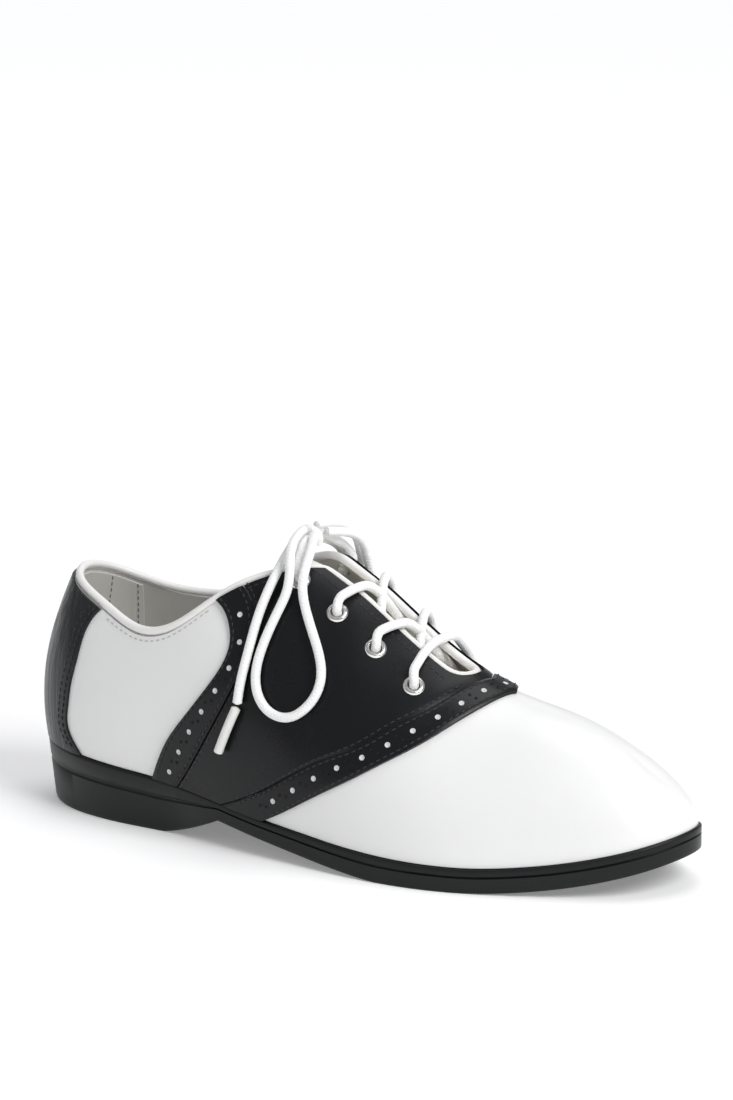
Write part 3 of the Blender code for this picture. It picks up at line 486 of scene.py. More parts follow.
def makeCamera():
    view = dict(turn=29.0, rise=15.3, away=1.2, lens=74.43, film=24.0, yaw=-0.107, pitch=3.18, aim=0.035)
    turn, rise, yaw, pitch = (math.radians(view[key]) for key in ("turn", "rise", "yaw", "pitch"))
    back = Vector((math.sin(turn) * math.cos(rise), -math.cos(turn) * math.cos(rise), math.sin(rise)))
    data = bpy.data.cameras.new("camera")
    data.lens = view["lens"]
    data.sensor_width = view["film"]
    data.clip_start = 0.01
    eye = newObject("camera", data)
    eye.location = Vector(shift) + Vector((0, 0, view["aim"])) + back * view["away"]
    look = (-back).to_track_quat("-Z", "Y").to_matrix().to_4x4()
    nudge = Matrix.Rotation(yaw, 4, "Y") @ Matrix.Rotation(pitch, 4, "X")
    eye.rotation_euler = (look @ nudge).to_euler()
    scene.camera = eye


makeCamera()


def newMaterial(name, colour, roughness, **more):
    made = bpy.data.materials.new(name)
    made.use_nodes = True
    shader = made.node_tree.nodes["Principled BSDF"]
    shader.inputs["Base Color"].default_value = (*colour, 1)
    shader.inputs["Roughness"].default_value = roughness
    for key, value in more.items():
        shader.inputs[key].default_value = value
    return made


def addNode(tree, kind, inputs=None, **settings):
    # each input is given a value, or a link from another node's output
    node = tree.nodes.new(kind)
    for key, value in settings.items():
        setattr(node, key, value)
    for key, value in (inputs or {}).items():
        if isinstance(value, bpy.types.NodeSocket):
            tree.links.new(value, node.inputs[key])
        else:
            node.inputs[key].default_value = value
    return node


def shaderGroup(name, outputs, inputs):
    group = bpy.data.node_groups.new(name, "ShaderNodeTree")
    for label, kind, value in inputs:
        group.interface.new_socket(label, in_out="INPUT", socket_type=kind).default_value = value
    for label, kind in outputs:
        group.interface.new_socket(label, in_out="OUTPUT", socket_type=kind)
    return group, addNode(group, "NodeGroupInput"), addNode(group, "NodeGroupOutput")


def makeGrain():
    # fine cells over soft folds; Stretch draws the folds out along an axis
    group, start, end = shaderGroup("leather_grain", [("Normal", "NodeSocketVector"), ("Mottle", "NodeSocketFloat")],
                                    [("Depth", "NodeSocketFloat", 0.2), ("Cells", "NodeSocketFloat", 1400.0),
                                     ("Folds", "NodeSocketFloat", 55.0), ("Fold Depth", "NodeSocketFloat", 0.16),
                                     ("Stretch", "NodeSocketVector", (1.0, 1.0, 1.0))])
    place = addNode(group, "ShaderNodeTexCoord").outputs["Object"]
    stretched = addNode(group, "ShaderNodeVectorMath", {0: place, 1: start.outputs["Stretch"]}, operation="MULTIPLY")
    cells = addNode(group, "ShaderNodeTexVoronoi", {"Vector": place, "Scale": start.outputs["Cells"]},
                    feature="SMOOTH_F1")
    folds = addNode(group, "ShaderNodeTexNoise", {"Detail": 5.0, "Scale": start.outputs["Folds"],
                                                  "Vector": stretched.outputs["Vector"]})
    soft = addNode(group, "ShaderNodeBump", {"Distance": 0.0008, "Strength": start.outputs["Fold Depth"],
                                             "Height": folds.outputs["Fac"]})
    fine = addNode(group, "ShaderNodeBump", {"Distance": 0.00012, "Strength": start.outputs["Depth"],
                                             "Height": cells.outputs["Distance"], "Normal": soft.outputs["Normal"]})
    group.links.new(fine.outputs["Normal"], end.inputs["Normal"])
    group.links.new(folds.outputs["Fac"], end.inputs["Mottle"])
    return group


def makeBraid():
    # two sets of threads wound round the lace, on the UV map along it
    group, start, end = shaderGroup("lace_braid", [("Normal", "NodeSocketVector")],
                                    [("Pitch", "NodeSocketFloat", 0.0013)])
    place = addNode(group, "ShaderNodeUVMap", uv_map="along")
    split = addNode(group, "ShaderNodeSeparateXYZ", {"Vector": place.outputs["UV"]})
    run = addNode(group, "ShaderNodeMath", {0: split.outputs["X"], 1: start.outputs["Pitch"]}, operation="DIVIDE")
    waves = []
    for threads in (4.0, -4.0):
        twist = addNode(group, "ShaderNodeMath", {0: split.outputs["Y"], 1: threads, 2: run.outputs["Value"]},
                        operation="MULTIPLY_ADD")
        turn = addNode(group, "ShaderNodeMath", {0: twist.outputs["Value"], 1: 2 * math.pi}, operation="MULTIPLY")
        waves.append(addNode(group, "ShaderNodeMath", {0: turn.outputs["Value"]}, operation="SINE"))
    both = addNode(group, "ShaderNodeMath", {0: waves[0].outputs["Value"], 1: waves[1].outputs["Value"]},
                   operation="MAXIMUM")
    bump = addNode(group, "ShaderNodeBump", {"Distance": 0.00025, "Strength": 0.35, "Height": both.outputs["Value"]})
    group.links.new(bump.outputs["Normal"], end.inputs["Normal"])
    return group


leatherGrain, laceBraid = makeGrain(), makeBraid()


def addGrain(material, depth, low, high, **more):
    # low and high are the ends of the roughness
    tree = material.node_tree
    grain = addNode(tree, "ShaderNodeGroup", node_tree=leatherGrain)
    for key, value in dict(Depth=depth, Cells=1500.0, **more).items():
        grain.inputs[key].default_value = value
    gloss = addNode(tree, "ShaderNodeMapRange", {"From Min": 0.3, "From Max": 0.7, "To Min": low, "To Max": high,
                                                 "Value": grain.outputs["Mottle"]})
    shader = tree.nodes["Principled BSDF"]
    tree.links.new(grain.outputs["Normal"], shader.inputs["Normal"])
    tree.links.new(gloss.outputs["Result"], shader.inputs["Roughness"])


whiteLeather = newMaterial("white_leather", (0.82, 0.82, 0.81), 0.34)
# tongue: cream leather lightened past the white leather, partly its own cream colour and partly painted light for the
# shade it sits in
tongueLeatherPaintedLight = newMaterial("tongue_leather", (0.90, 0.88, 0.80), 0.45)
blackLeather = newMaterial("black_leather", (0.006, 0.0065, 0.0075), 0.3, **{"Specular IOR Level": 0.26})
creasedLeather = newMaterial("creased_leather", (0.010, 0.011, 0.013), 0.3, **{"Specular IOR Level": 0.32})
liningLeather = newMaterial("lining", (0.60, 0.585, 0.55), 0.6)
heelLining = newMaterial("heel_lining", (0.66, 0.655, 0.62), 0.6)
pipingLeather = newMaterial("piping", (0.84, 0.83, 0.81), 0.38)
soleRubber = newMaterial("sole", (0.007, 0.008, 0.008), 0.36, **{"Specular IOR Level": 0.24})
eyeletMetal = newMaterial("eyelet_metal", (0.80, 0.79, 0.77), 0.2, Metallic=1.0)
laceCotton = newMaterial("lace", (0.90, 0.90, 0.89), 0.8)
agletPlastic = newMaterial("aglet", (0.78, 0.78, 0.75), 0.18)
blackThread = newMaterial("black_thread", (0.02, 0.02, 0.022), 0.6)
# collar stitches: white thread given a grey colour, painted shade for the little shadows the stitches cast
threadWithPaintedShade = newMaterial("thread_painted_shade", (0.48, 0.48, 0.46), 0.7)
liningThread = newMaterial("lining_thread", (0.20, 0.19, 0.17), 0.7)
# small holes: near-black, darker than the black leather around them, painted shade inside the holes
holePaintedShade = newMaterial("hole_painted_shade", (0.002, 0.002, 0.002), 0.9)
holePale = newMaterial("hole_pale", (0.62, 0.62, 0.61), 0.6)
for leather, depth, low, high in ((whiteLeather, 0.10, 0.28, 0.38), (tongueLeatherPaintedLight, 0.16, 0.4, 0.52),
                                  (blackLeather, 0.22, 0.24, 0.34), (liningLeather, 0.3, 0.55, 0.7),
                                  (heelLining, 0.3, 0.5, 0.62), (pipingLeather, 0.08, 0.34, 0.44),
                                  (soleRubber, 0.12, 0.3, 0.44)):
    addGrain(leather, depth, low, high)
# the heel leather is pulled into fine upright creases
addGrain(creasedLeather, 0.2, 0.22, 0.42, **{"Folds": 420.0, "Fold Depth": 0.42, "Stretch": (1.0, 1.0, 0.06)})
braid = addNode(laceCotton.node_tree, "ShaderNodeGroup", node_tree=laceBraid)
laceCotton.node_tree.links.new(braid.outputs["Normal"], laceCotton.node_tree.nodes["Principled BSDF"].inputs["Normal"])


def finishPiece(name, mesh, material, slotName, nodes=()):
    mesh.transform(Matrix.Translation(shift))
    mesh.materials.clear()
    mesh.materials.append(material)
    piece = newObject(name, mesh)
    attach(piece, "root")
    if nodes:
        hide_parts(*nodes)
    return piece


def smoothShade(mesh, sharp=40):
    mesh.shade_smooth()
    mesh.set_sharp_from_angle(angle=math.radians(sharp))
    return mesh


def plainMesh(name, vertices, faces=()):
    mesh = bpy.data.meshes.new(name)
    mesh.from_pydata([tuple(map(float, point)) for point in vertices], [], faces)
    return mesh


def meshFrom(name, shape):
    mesh = bpy.data.meshes.new(name)
    shape.to_mesh(mesh)
    shape.free()
    return mesh


def meshOf(name, vertices, faces, sharp=40, weld=0.00002):
    # merges doubles, and drops the walls inside the leather where its two halves meet
    mesh = plainMesh(name, vertices, faces)
    shape = bmesh.new()
    shape.from_mesh(mesh)
    centres = [face.calc_center_median() for face in shape.faces]
    tree = KDTree(len(centres))
    for i, centre in enumerate(centres):
        tree.insert(centre, i)
    tree.balance()
    inside = [face for face, centre in zip(shape.faces, centres) if len(tree.find_range(centre, 2 * weld)) > 1]
    bmesh.ops.delete(shape, geom=inside, context="FACES")
    bmesh.ops.remove_doubles(shape, verts=shape.verts, dist=weld)
    shape.to_mesh(mesh)
    shape.free()
    return smoothShade(mesh, sharp)


def gridFaces(count, across, start=0, flip=False):
    faces = []
    for i in range(count - 1):
        for j in range(across - 1):
            a = start + i * across + j
            face = (a, a + 1, a + across + 1, a + across)
            faces.append(face[::-1] if flip else face)
    return faces


def shell(outer, inner):
    # outer and inner are grids of the same shape; walls close their four borders
    count, across = outer.shape[:2]
    total = count * across
    vertices = list(outer.reshape(-1, 3)) + list(inner.reshape(-1, 3))
    faces = gridFaces(count, across) + gridFaces(count, across, total, True)
    for i in range(count - 1):
        a, b = i * across, (i + 1) * across
        faces.append((a, b, b + total, a + total))
        a, b = a + across - 1, b + across - 1
        faces.append((b, a, a + total, b + total))
    final = (count - 1) * across
    for j in range(across - 1):
        faces.append((j + 1, j, j + total, j + 1 + total))
        faces.append((final + j, final + j + 1, final + j + 1 + total, final + j + total))
    return vertices, faces


def tubeMesh(name, points, radius, sides=16, closed=False):
    points = np.asarray(points, float)
    count = len(points)
    ahead = np.roll(points, -1, 0) - np.roll(points, 1, 0)
    if not closed:
        ahead[0], ahead[-1] = points[1] - points[0], points[-1] - points[-2]
    ahead /= np.linalg.norm(ahead, axis=1, keepdims=True)
    side = np.cross(ahead[0], (0, 0, 1.0) if abs(ahead[0][2]) < 0.9 else (1.0, 0, 0))
    frames = []
    for way in ahead:
        side = side - way * (side @ way)
        side /= np.linalg.norm(side)
        frames.append((side, np.cross(way, side)))
    twist = 0.0
    if closed:
        first, end = frames[0], frames[-1][0] - ahead[0] * (frames[-1][0] @ ahead[0])
        twist = math.atan2(end @ first[1], end @ first[0])
    radii = np.broadcast_to(radius, (count,))
    vertices, faces = [], []
    for i in range(count):
        for k in range(sides):
            angle = 2 * math.pi * k / sides - twist * i / count
            vertices.append(points[i] + radii[i] * (math.cos(angle) * frames[i][0] + math.sin(angle) * frames[i][1]))
    for i in range(count if closed else count - 1):
        for k in range(sides):
            here, there, beside = i * sides, (i + 1) % count * sides, (k + 1) % sides
            faces.append((here + k, here + beside, there + beside, there + k))
    if not closed:
        faces.append(tuple(range(sides))[::-1])
        faces.append(tuple((count - 1) * sides + k for k in range(sides)))
    mesh = plainMesh(name, vertices, faces)
    walk = distances(points)
    layer = mesh.uv_layers.new(name="along")
    for face in mesh.polygons:
        for corner in face.loop_indices:
            ring, spoke = divmod(mesh.loops[corner].vertex_index, sides)
            around = spoke / sides
            if len(face.vertices) == 4 and spoke == 0 and max(v % sides for v in face.vertices) == sides - 1:
                around = 1.0
            layer.data[corner].uv = (walk[ring], around)
    return smoothShade(mesh, 50)


def roundedEnds(points, radius, share=0.35):
    # radius along a cord whose ends are softly rounded
    walk = distances(points)
    edge = np.minimum(walk, walk[-1] - walk) / (share * radius)
    return radius * np.sqrt(np.clip(1 - (1 - np.clip(edge, 0, 1)) ** 2, 0.12, 1))


# laces and the bow come first
laceLook = dict(step=0.0006, sides=18, pathStep=3, agletSlim=0.92, through=(0.0042, 0.0030, 0.0010, -0.0015, -0.0040))


def cordPiece(name, rawPoints, radius, material, slotName, nodes):
    points = smoothLine(rawPoints, laceLook["step"])
    mesh = tubeMesh(name, points, roundedEnds(points, radius), laceLook["sides"])
    return finishPiece(name, mesh, material, slotName, nodes), points + shift


def declareCord(piece, path, **more):
    length = float(np.linalg.norm(np.diff(path, axis=0), axis=1).sum())
    tuple(path[0])


def makeBow():
    strand = topStrand()

    def roundKnot(degrees, across):
        angle = math.radians(degrees)
        x, z = (np.interp(across, strand[:, 1], strand[:, axis]) for axis in (0, 2))
        return np.array([x + laceAway * math.cos(angle), across, z + laceAway * math.sin(angle)])
    turn = [roundKnot(angle, 0) for angle in np.linspace(-25, 205, 24)]
    cordPiece("bow_knot", turn, laceRadius, laceCotton, "lace", ["lace_knot"])
    for name, side in sideNames:
        front, back, low = (roundKnot(angle, side * (laceAway + gap)) for angle in (32, 102, 178))
        loopLine = smoothLine([front, *hangPoints(side, loopHangs), back], 2 * cordStep)
        loop, path = cordPiece(f"bow_loop_{name}", loopLine, laceRadius, laceCotton, "lace", [f"lace_loop_{name}"])
        declareCord(loop, path, far_end="object")
        tip, _ = cordPiece(f"bow_aglet_{name}", smoothLine(hangPoints(side, agletHangs), 2 * cordStep),
                           agletRadius * laceLook["agletSlim"], agletPlastic, "aglet", [f"aglet_{name}"])
        endLine = smoothLine([low, *hangPoints(side, endHangs)], 2 * cordStep)
        end, path = cordPiece(f"bow_end_{name}", endLine, laceRadius, laceCotton, "lace", [f"lace_end_{name}"])
        declareCord(end, path, far_end="fitting", with_pieces=[tip])


makeBow()


def throughEyelet(side, number):
    # points that carry a strand through its eyelet, from the face to the inside
    u, v = spot(side, *eyeletPlan(number))
    return [raised(side, u, v, height) for height in laceLook["through"]]


def makeLacing():
    plans = [("lacing_bar", -1, eyeletCount - 1, eyeletCount - 1, barDips, "lace_bar", 0.0)]
    for name, pair in (("low", 2), ("high", 1)):
        for label, side in (("first", -1), ("second", 1)):
            plans.append((f"lacing_{name}_{label}", side, pair, pair + 1, crossDips, f"lace_cross_{name}", 0.0))
    plans.append(("lacing_top", -1, 0, 0, topDips, "lace_top", eyeletPlan(0)[0] - knotAlong))
    for name, side, start, end, dips, node, back in plans:
        line = list(strandLine(side, start, end, dips, back))
        tail = line[-1:] if dips is crossDips else throughEyelet(-side, end)[1:]
        line = throughEyelet(side, start)[::-1][:-1] + line[1:-1] + tail
        cordPiece(name, line, laceRadius, laceCotton, "lace", [node])


makeLacing()
print("laces done")

# the upper
upperLook = dict(rows=150, ups=44, leatherShare=0.55)


def upperGrid(side, us, ups, height):
    limit = collarV(side, us, edgeBack)
    return raised(side, us[:, None], climbTo(limit[:, None], ups[None, :]), height)


def throatSlot():
    half = throatHalfGap + edgeBack
    centre = float(lengthAt(throatEnd)) + edgeBack - half
    back = float(lengthAt(eyeletFirst)) - 2 * half
    outline = [(centre + half * math.cos(angle), half * math.sin(angle))
               for angle in np.linspace(-math.pi / 2, math.pi / 2, 33)]
    outline += [(back, half), (back, -half)]
    shape = bmesh.new()
    floor = [shape.verts.new((x, y, soleEdge + 0.3 * upperHeight)) for x, y in outline]
    face = shape.faces.new(floor[::-1])
    extruded = bmesh.ops.extrude_face_region(shape, geom=[face])["geom"]
    bmesh.ops.translate(shape, verts=[item for item in extruded if isinstance(item, bmesh.types.BMVert)],
                        vec=(0, 0, upperHeight))
    bmesh.ops.recalc_face_normals(shape, faces=shape.faces)
    return bpy.data.objects.new("throat_slot", meshFrom("throat_slot", shape))


def eyeletFrames():
    for label, side in sideNames:
        for number in range(eyeletCount):
            u, v = spot(side, *eyeletPlan(number))
            turn = Vector((0, 0, 1)).rotation_difference(Vector(faceNormal(side, u, v))).to_matrix().to_4x4()
            yield label, number, Matrix.Translation(Vector(last(side, u, v))) @ turn


def eyeletDrills():
    radius = eyeletBore + eyeletWall
    shape = bmesh.new()
    for _, _, place in eyeletFrames():
        bmesh.ops.create_cone(shape, cap_ends=True, segments=32, radius1=radius, radius2=radius, depth=0.012,
                              matrix=place)
    return bpy.data.objects.new("eyelet_drills", meshFrom("eyelet_drills", shape))


def cutMesh(name, mesh, cutters):
    piece = newObject(name, mesh)
    for cutter in cutters:
        if cutter.name not in scene.collection.objects:
            scene.collection.objects.link(cutter)
        hole = piece.modifiers.new(cutter.name, "BOOLEAN")
        hole.operation = "DIFFERENCE"
        hole.object = cutter
        hole.solver = "EXACT"
    return smoothShade(appliedMesh(piece))


slot, drills = throatSlot(), eyeletDrills()


def bothSides(makeGrid):
    # one grid right round: lateral side backwards, then medial side forwards, sharing the heel
    lateral, medial = makeGrid(-1), makeGrid(1)
    return np.concatenate([lateral[::-1], medial[1:]])


def makeUpper():
    count = upperLook["rows"]
    us = np.concatenate([np.linspace(0, 0.5, count // 2), np.linspace(0.5, 1, count // 2)[1:]])
    ups = np.linspace(0, 1, upperLook["ups"])
    outer, middle, inner = (bothSides(lambda side: upperGrid(side, us, ups, -share * wall))
                            for share in (0, upperLook["leatherShare"], 1))
    for name, first, second, material, slotName in (("upper_leather", outer, middle, whiteLeather, "white_leather"),
                                                    ("upper_lining", middle, inner, liningLeather, "insole")):
        mesh = cutMesh(name, meshOf(name, *shell(first, second)), (slot, drills))
        finishPiece(name, mesh, material, slotName, ["upper"])


makeUpper()
heelLook = dict(edge=0.115, second=0.062, rows=40, ups=30, thickness=0.0006)


def makeHeelLining():
    us, ups = np.linspace(0, heelLook["edge"], heelLook["rows"]), np.linspace(0.08, 0.985, heelLook["ups"])
    outer, inner = (bothSides(lambda side: upperGrid(side, us, ups, -wall + height))
                    for height in (0.0001, -heelLook["thickness"]))
    finishPiece("heel_lining", meshOf("heel_lining", *shell(outer, inner)), heelLining, "insole")


makeHeelLining()
print("upper done")

panelLook = dict(ups=48, round=0.0004, saddleRows=60, frontRows=14, rearRows=12, heelRows=24)
rearSeam, rearEdge, frontSeam, frontEdge = (saddleLine(name) for name in ("rearSeam", "rearEdge", "frontSeam",
                                                                         "frontEdge"))
heelEdge = splineOf(heelStripLine)


def panelPiece(name, sides, start, end, rows, thickness, nodes, cutters=(), leather=blackLeather):
    shares, ups = np.linspace(0, 1, rows), np.linspace(0, 1, panelLook["ups"])
    first, final = start(ups), end(ups)
    us = first[None, :] + (final - first)[None, :] * shares[:, None]
    drop = np.zeros((rows, len(ups)))    # rolls the edges down
    drop[-1], drop[-2] = panelLook["round"], 0.3 * panelLook["round"]
    if first[0] > 0:
        drop[0], drop[1] = drop[-1], drop[-2]
    vertices, faces = [], []
    for side in sides:
        limit = collarV(side, first[-1] + (final[-1] - first[-1]) * shares, edgeBack)
        vs = climbTo(limit[:, None], ups[None, :])
        outer = raised(side, us, vs, (overlayGap + thickness - drop)[..., None])[::side]
        inner = raised(side, us, vs, 0.00005)[::side]
        more, quads = shell(outer, inner)
        faces += [tuple(i + len(vertices) for i in face) for face in quads]
        vertices += more
    mesh = meshOf(name, vertices, faces)
    if cutters:
        mesh = cutMesh(name, mesh, cutters)
    return finishPiece(name, mesh, leather, "black_leather", nodes)


def makePanels():
    rearGap, frontGap = acrossGap(1, 0.4), acrossGap(1, 0.65)
    panelPiece("saddle_leather", (1, -1), insetLine(rearSeam, rearGap), insetLine(frontSeam, -frontGap),
               panelLook["saddleRows"], saddleThickness, ["saddle"], (slot, drills))
    panelPiece("front_band", (1, -1), insetLine(frontSeam, frontGap), frontEdge, panelLook["frontRows"],
               bandThickness, ["saddle_front_band"])
    for label, side in sideNames:
        panelPiece(f"rear_band_{label}", (side,), rearEdge, insetLine(rearSeam, -rearGap), panelLook["rearRows"],
                   bandThickness, [f"saddle_rear_band_{label}"])
    panelPiece("heel_counter", (1, -1), lambda ups: 0 * ups, heelEdge, panelLook["heelRows"], saddleThickness,
               ["heel_strip"], leather=creasedLeather)


makePanels()
print("panels done")


def scatterTree(name):
    # copies of one small shape on given points, turned by the points' stored way and side
    tree = bpy.data.node_groups.new(name, "GeometryNodeTree")
    sockets = {}
    for label, kind in (("Line", "NodeSocketGeometry"), ("Finish", "NodeSocketMaterial"),
                        ("Shape", "NodeSocketObject")):
        sockets[label] = tree.interface.new_socket(label, in_out="INPUT", socket_type=kind).identifier
    tree.interface.new_socket("Pieces", in_out="OUTPUT", socket_type="NodeSocketGeometry")
    start, end = addNode(tree, "NodeGroupInput"), addNode(tree, "NodeGroupOutput")
    shape = addNode(tree, "GeometryNodeObjectInfo", {"Object": start.outputs["Shape"]})
    way, side, size = (addNode(tree, "GeometryNodeInputNamedAttribute", {"Name": label}, data_type=kind)
                       for label, kind in (("way", "FLOAT_VECTOR"), ("side", "FLOAT_VECTOR"), ("size", "FLOAT")))
    stand = addNode(tree, "FunctionNodeAlignRotationToVector", {"Vector": way.outputs["Attribute"]}, axis="Z")
    turn = addNode(tree, "FunctionNodeAlignRotationToVector", {"Rotation": stand.outputs["Rotation"],
                                                               "Vector": side.outputs["Attribute"]},
                   axis="X", pivot_axis="Z")
    place = addNode(tree, "GeometryNodeInstanceOnPoints", {
        "Points": start.outputs["Line"], "Instance": shape.outputs["Geometry"],
        "Rotation": turn.outputs["Rotation"], "Scale": size.outputs["Attribute"]})
    real = addNode(tree, "GeometryNodeRealizeInstances", {"Geometry": place.outputs["Instances"]})
    paint = addNode(tree, "GeometryNodeSetMaterial", {"Geometry": real.outputs["Geometry"],
                                                      "Material": start.outputs["Finish"]})
    tree.links.new(paint.outputs["Geometry"], end.inputs["Pieces"])
    return tree, sockets


scatter, scatterSockets = scatterTree("small_pieces")


def smallShape(name, build):
    shape = bmesh.new()
    build(shape)
    for face in shape.faces:
        face.smooth = True
    return bpy.data.objects.new(name, meshFrom(name, shape))


def stitchShape(shape):
    bmesh.ops.create_uvsphere(shape, u_segments=8, v_segments=6, radius=1.0,
                              matrix=Matrix.Diagonal((0.0009, 0.00026, 0.00020, 1)))


def holeShape(shape):
    # a small dished hole with a soft rim, radius 1 mm at size 1
    steps, before = 16, None
    for radius, height in ((1.25, 0.0), (1.12, 0.05), (1.0, 0.03), (0.9, -0.12), (0.0, -0.16)):
        angles = np.linspace(0, 2 * math.pi, steps, endpoint=False) if radius else [0.0]
        ring = [shape.verts.new((radius * 0.001 * math.cos(a), radius * 0.001 * math.sin(a), height * 0.001))
                for a in angles]
        for i in range(steps if before else 0):
            j = (i + 1) % steps
            shape.faces.new((before[i], before[j], ring[j], ring[i]) if radius else (before[i], before[j], ring[0]))
        before = ring


stitchUnit, holeUnit = smallShape("stitch_unit", stitchShape), smallShape("hole_unit", holeShape)


def scatterPiece(name, places, ways, sides, sizes, unit, material, slotName):
    mesh = plainMesh(name, places)
    for label, values in (("way", ways), ("side", sides)):
        layer = mesh.attributes.new(label, "FLOAT_VECTOR", "POINT")
        layer.data.foreach_set("vector", np.asarray(values, np.float32).ravel())
    layer = mesh.attributes.new("size", "FLOAT", "POINT")
    layer.data.foreach_set("value", np.asarray(sizes, np.float32))
    holder = newObject(name + "_points", mesh)
    run = holder.modifiers.new("scatter", "NODES")
    run.node_group = scatter
    run[scatterSockets["Shape"]] = unit
    run[scatterSockets["Finish"]] = material
    made = appliedMesh(holder)
    made.shade_smooth()
    return finishPiece(name, made, material, slotName)


# seams follow lines (u, v) on the last; height is that of the face they are sewn on
seamLook = dict(pitch=0.0026, inset=0.0016, double=0.0024, proud=0.00006, collar=0.0016, facing=0.0022,
                collarSpan=(0.165, 0.355), facingBack=0.405, facingEnd=0.040, liningSpan=(0.12, 0.98))


def seamPoints(side, us, vs, height):
    walk = distances(raised(side, us, vs, height))
    at = np.arange(0.5 * seamLook["pitch"], walk[-1], seamLook["pitch"])

    def placed(along):
        return np.interp(along, walk, us), np.interp(along, walk, vs)
    u, v = placed(at)
    places = raised(side, u, v, height)
    ahead = raised(side, *placed(at + 0.0003), height) - places
    return places, faceNormal(side, u, v), ahead / np.linalg.norm(ahead, axis=1, keepdims=True)


def seam(name, rows, material, slotName):
    found = [seamPoints(*row) for row in rows]
    places, ways, sides = (np.concatenate([row[k] for row in found]) for k in range(3))
    good = np.isfinite(places).all(1) & np.isfinite(ways).all(1) & np.isfinite(sides).all(1)
    return scatterPiece(name, places[good], ways[good], sides[good], np.ones(int(good.sum())), stitchUnit, material,
                        slotName)


def lineRow(side, line, offset, height):
    # offset in metres, across the seam
    ups = np.linspace(0.03, 1, 160)
    vs = climbTo(collarV(side, line(np.array([1.0])), edgeBack), ups)
    us = line(ups)
    along = np.linalg.norm(last(side, us + 0.005, vs) - last(side, us, vs), axis=-1) / 0.005
    return side, us + offset / along, vs, height


def offThroat(row):
    side, us, vs, height = row
    good = np.abs(last(side, us, vs)[:, 1]) > throatHalfGap + edgeBack + 0.001
    return side, us[good], vs[good], height


def makeSeams():
    inset, proud = seamLook["inset"], seamLook["proud"]
    bandFace, saddleFace = overlayGap + bandThickness + proud, overlayGap + saddleThickness + proud
    black, collar, facing, inside = [], [], [], []
    for side in (1, -1):
        for line, offset, face in ((frontEdge, -inset, bandFace), (frontSeam, inset, bandFace),
                                   (frontSeam, -inset, saddleFace), (rearEdge, inset, bandFace),
                                   (rearSeam, -inset, bandFace), (rearSeam, inset, saddleFace),
                                   (heelEdge, -inset, saddleFace),
                                   (heelEdge, -inset - seamLook["double"], saddleFace)):
            row = lineRow(side, line, offset, face)
            black.append(offThroat(row) if (line, face) == (frontSeam, saddleFace) else row)
        us = np.linspace(*seamLook["collarSpan"], 200)
        collar.append((side, us, collarV(side, us, edgeBack + seamLook["collar"]), proud))
        us = np.linspace(float(roundAt(float(lengthAt(eyeletFirst)) + 0.002)),
                         float(roundAt(seamLook["facingEnd"])), 120)
        facing.append((side, us, halfWidthV(side, us, throatHalfGap + edgeBack + seamLook["facing"]), saddleFace))
        us = np.linspace(seamLook["facingBack"], us[0], 60)
        facing.append((side, us, collarV(side, us, edgeBack + seamLook["facing"]), saddleFace))
        for u in (heelLook["edge"] - 0.008, heelLook["second"]):
            ups = np.linspace(*seamLook["liningSpan"], 80)
            vs = climbTo(collarV(side, np.array([u]), edgeBack), ups)
            inside.append((side, np.full(80, u), vs, -wall - heelLook["thickness"] - 0.00005))
    seam("seams_black", black, blackThread, "black_leather")
    # the collar stitches' grey colour is painted shade
    seam("seams_collar", collar, threadWithPaintedShade, "white_leather")
    seam("seams_facing", facing, blackThread, "black_leather")
    seam("seams_lining", inside, liningThread, "insole")


makeSeams()
print("seams done")

holeLook = dict(large=0.78, small=0.42, pitch=0.0098, beside=0.0013)


def bandHoles():
    # each large hole has a pair of small ones behind it
    pitch, beside = holeLook["pitch"], holeLook["beside"]
    found = {"large": [], "small": []}
    height = overlayGap + bandThickness + 0.00012
    for side in (1, -1):
        for first, second, stop in ((frontSeam, frontEdge, 1.0), (rearEdge, rearSeam, 0.86)):
            overRidge = stop == 1.0
            ups = np.linspace(0.03, stop, 300)
            us = 0.5 * (first(ups) + second(ups))
            vs = climbTo(collarV(side, us[-1:], edgeBack), ups)
            walk = distances(raised(side, us, vs, height))
            for k in range(int(walk[-1] / pitch) + 1):
                at = walk[-1] - k * pitch - (0 if overRidge else 0.3 * pitch)
                for step, across, size in ((0, 0, "large"), (-0.5 * pitch, beside, "small"),
                                           (-0.5 * pitch, -beside, "small")):
                    if not 0.002 < at + step <= walk[-1]:
                        continue
                    u, v = np.interp(at + step, walk, us), np.interp(at + step, walk, vs)
                    u = u + across * 0.005 / np.linalg.norm(last(side, u + 0.005, v) - last(side, u, v))
                    if overRidge and v > 0.9999 and side == -1:
                        continue    # the medial side has the hole on the ridge
                    found[size].append((raised(side, u, min(v, 0.9999), height),
                                        faceNormal(side, u, min(v, 0.9995))))
    # the small holes' colour is painted shade
    for size, paint in (("large", holePale), ("small", holePaintedShade)):
        places, ways = zip(*found[size])
        scatterPiece(f"band_holes_{size}", places, ways, [(1, 0, 0)] * len(places), [holeLook[size]] * len(places),
                     holeUnit, paint, "black_leather")


bandHoles()
print("holes done")

bindingLook = dict(step=0.0012, smooth=3, fuller=1.06, sides=18)


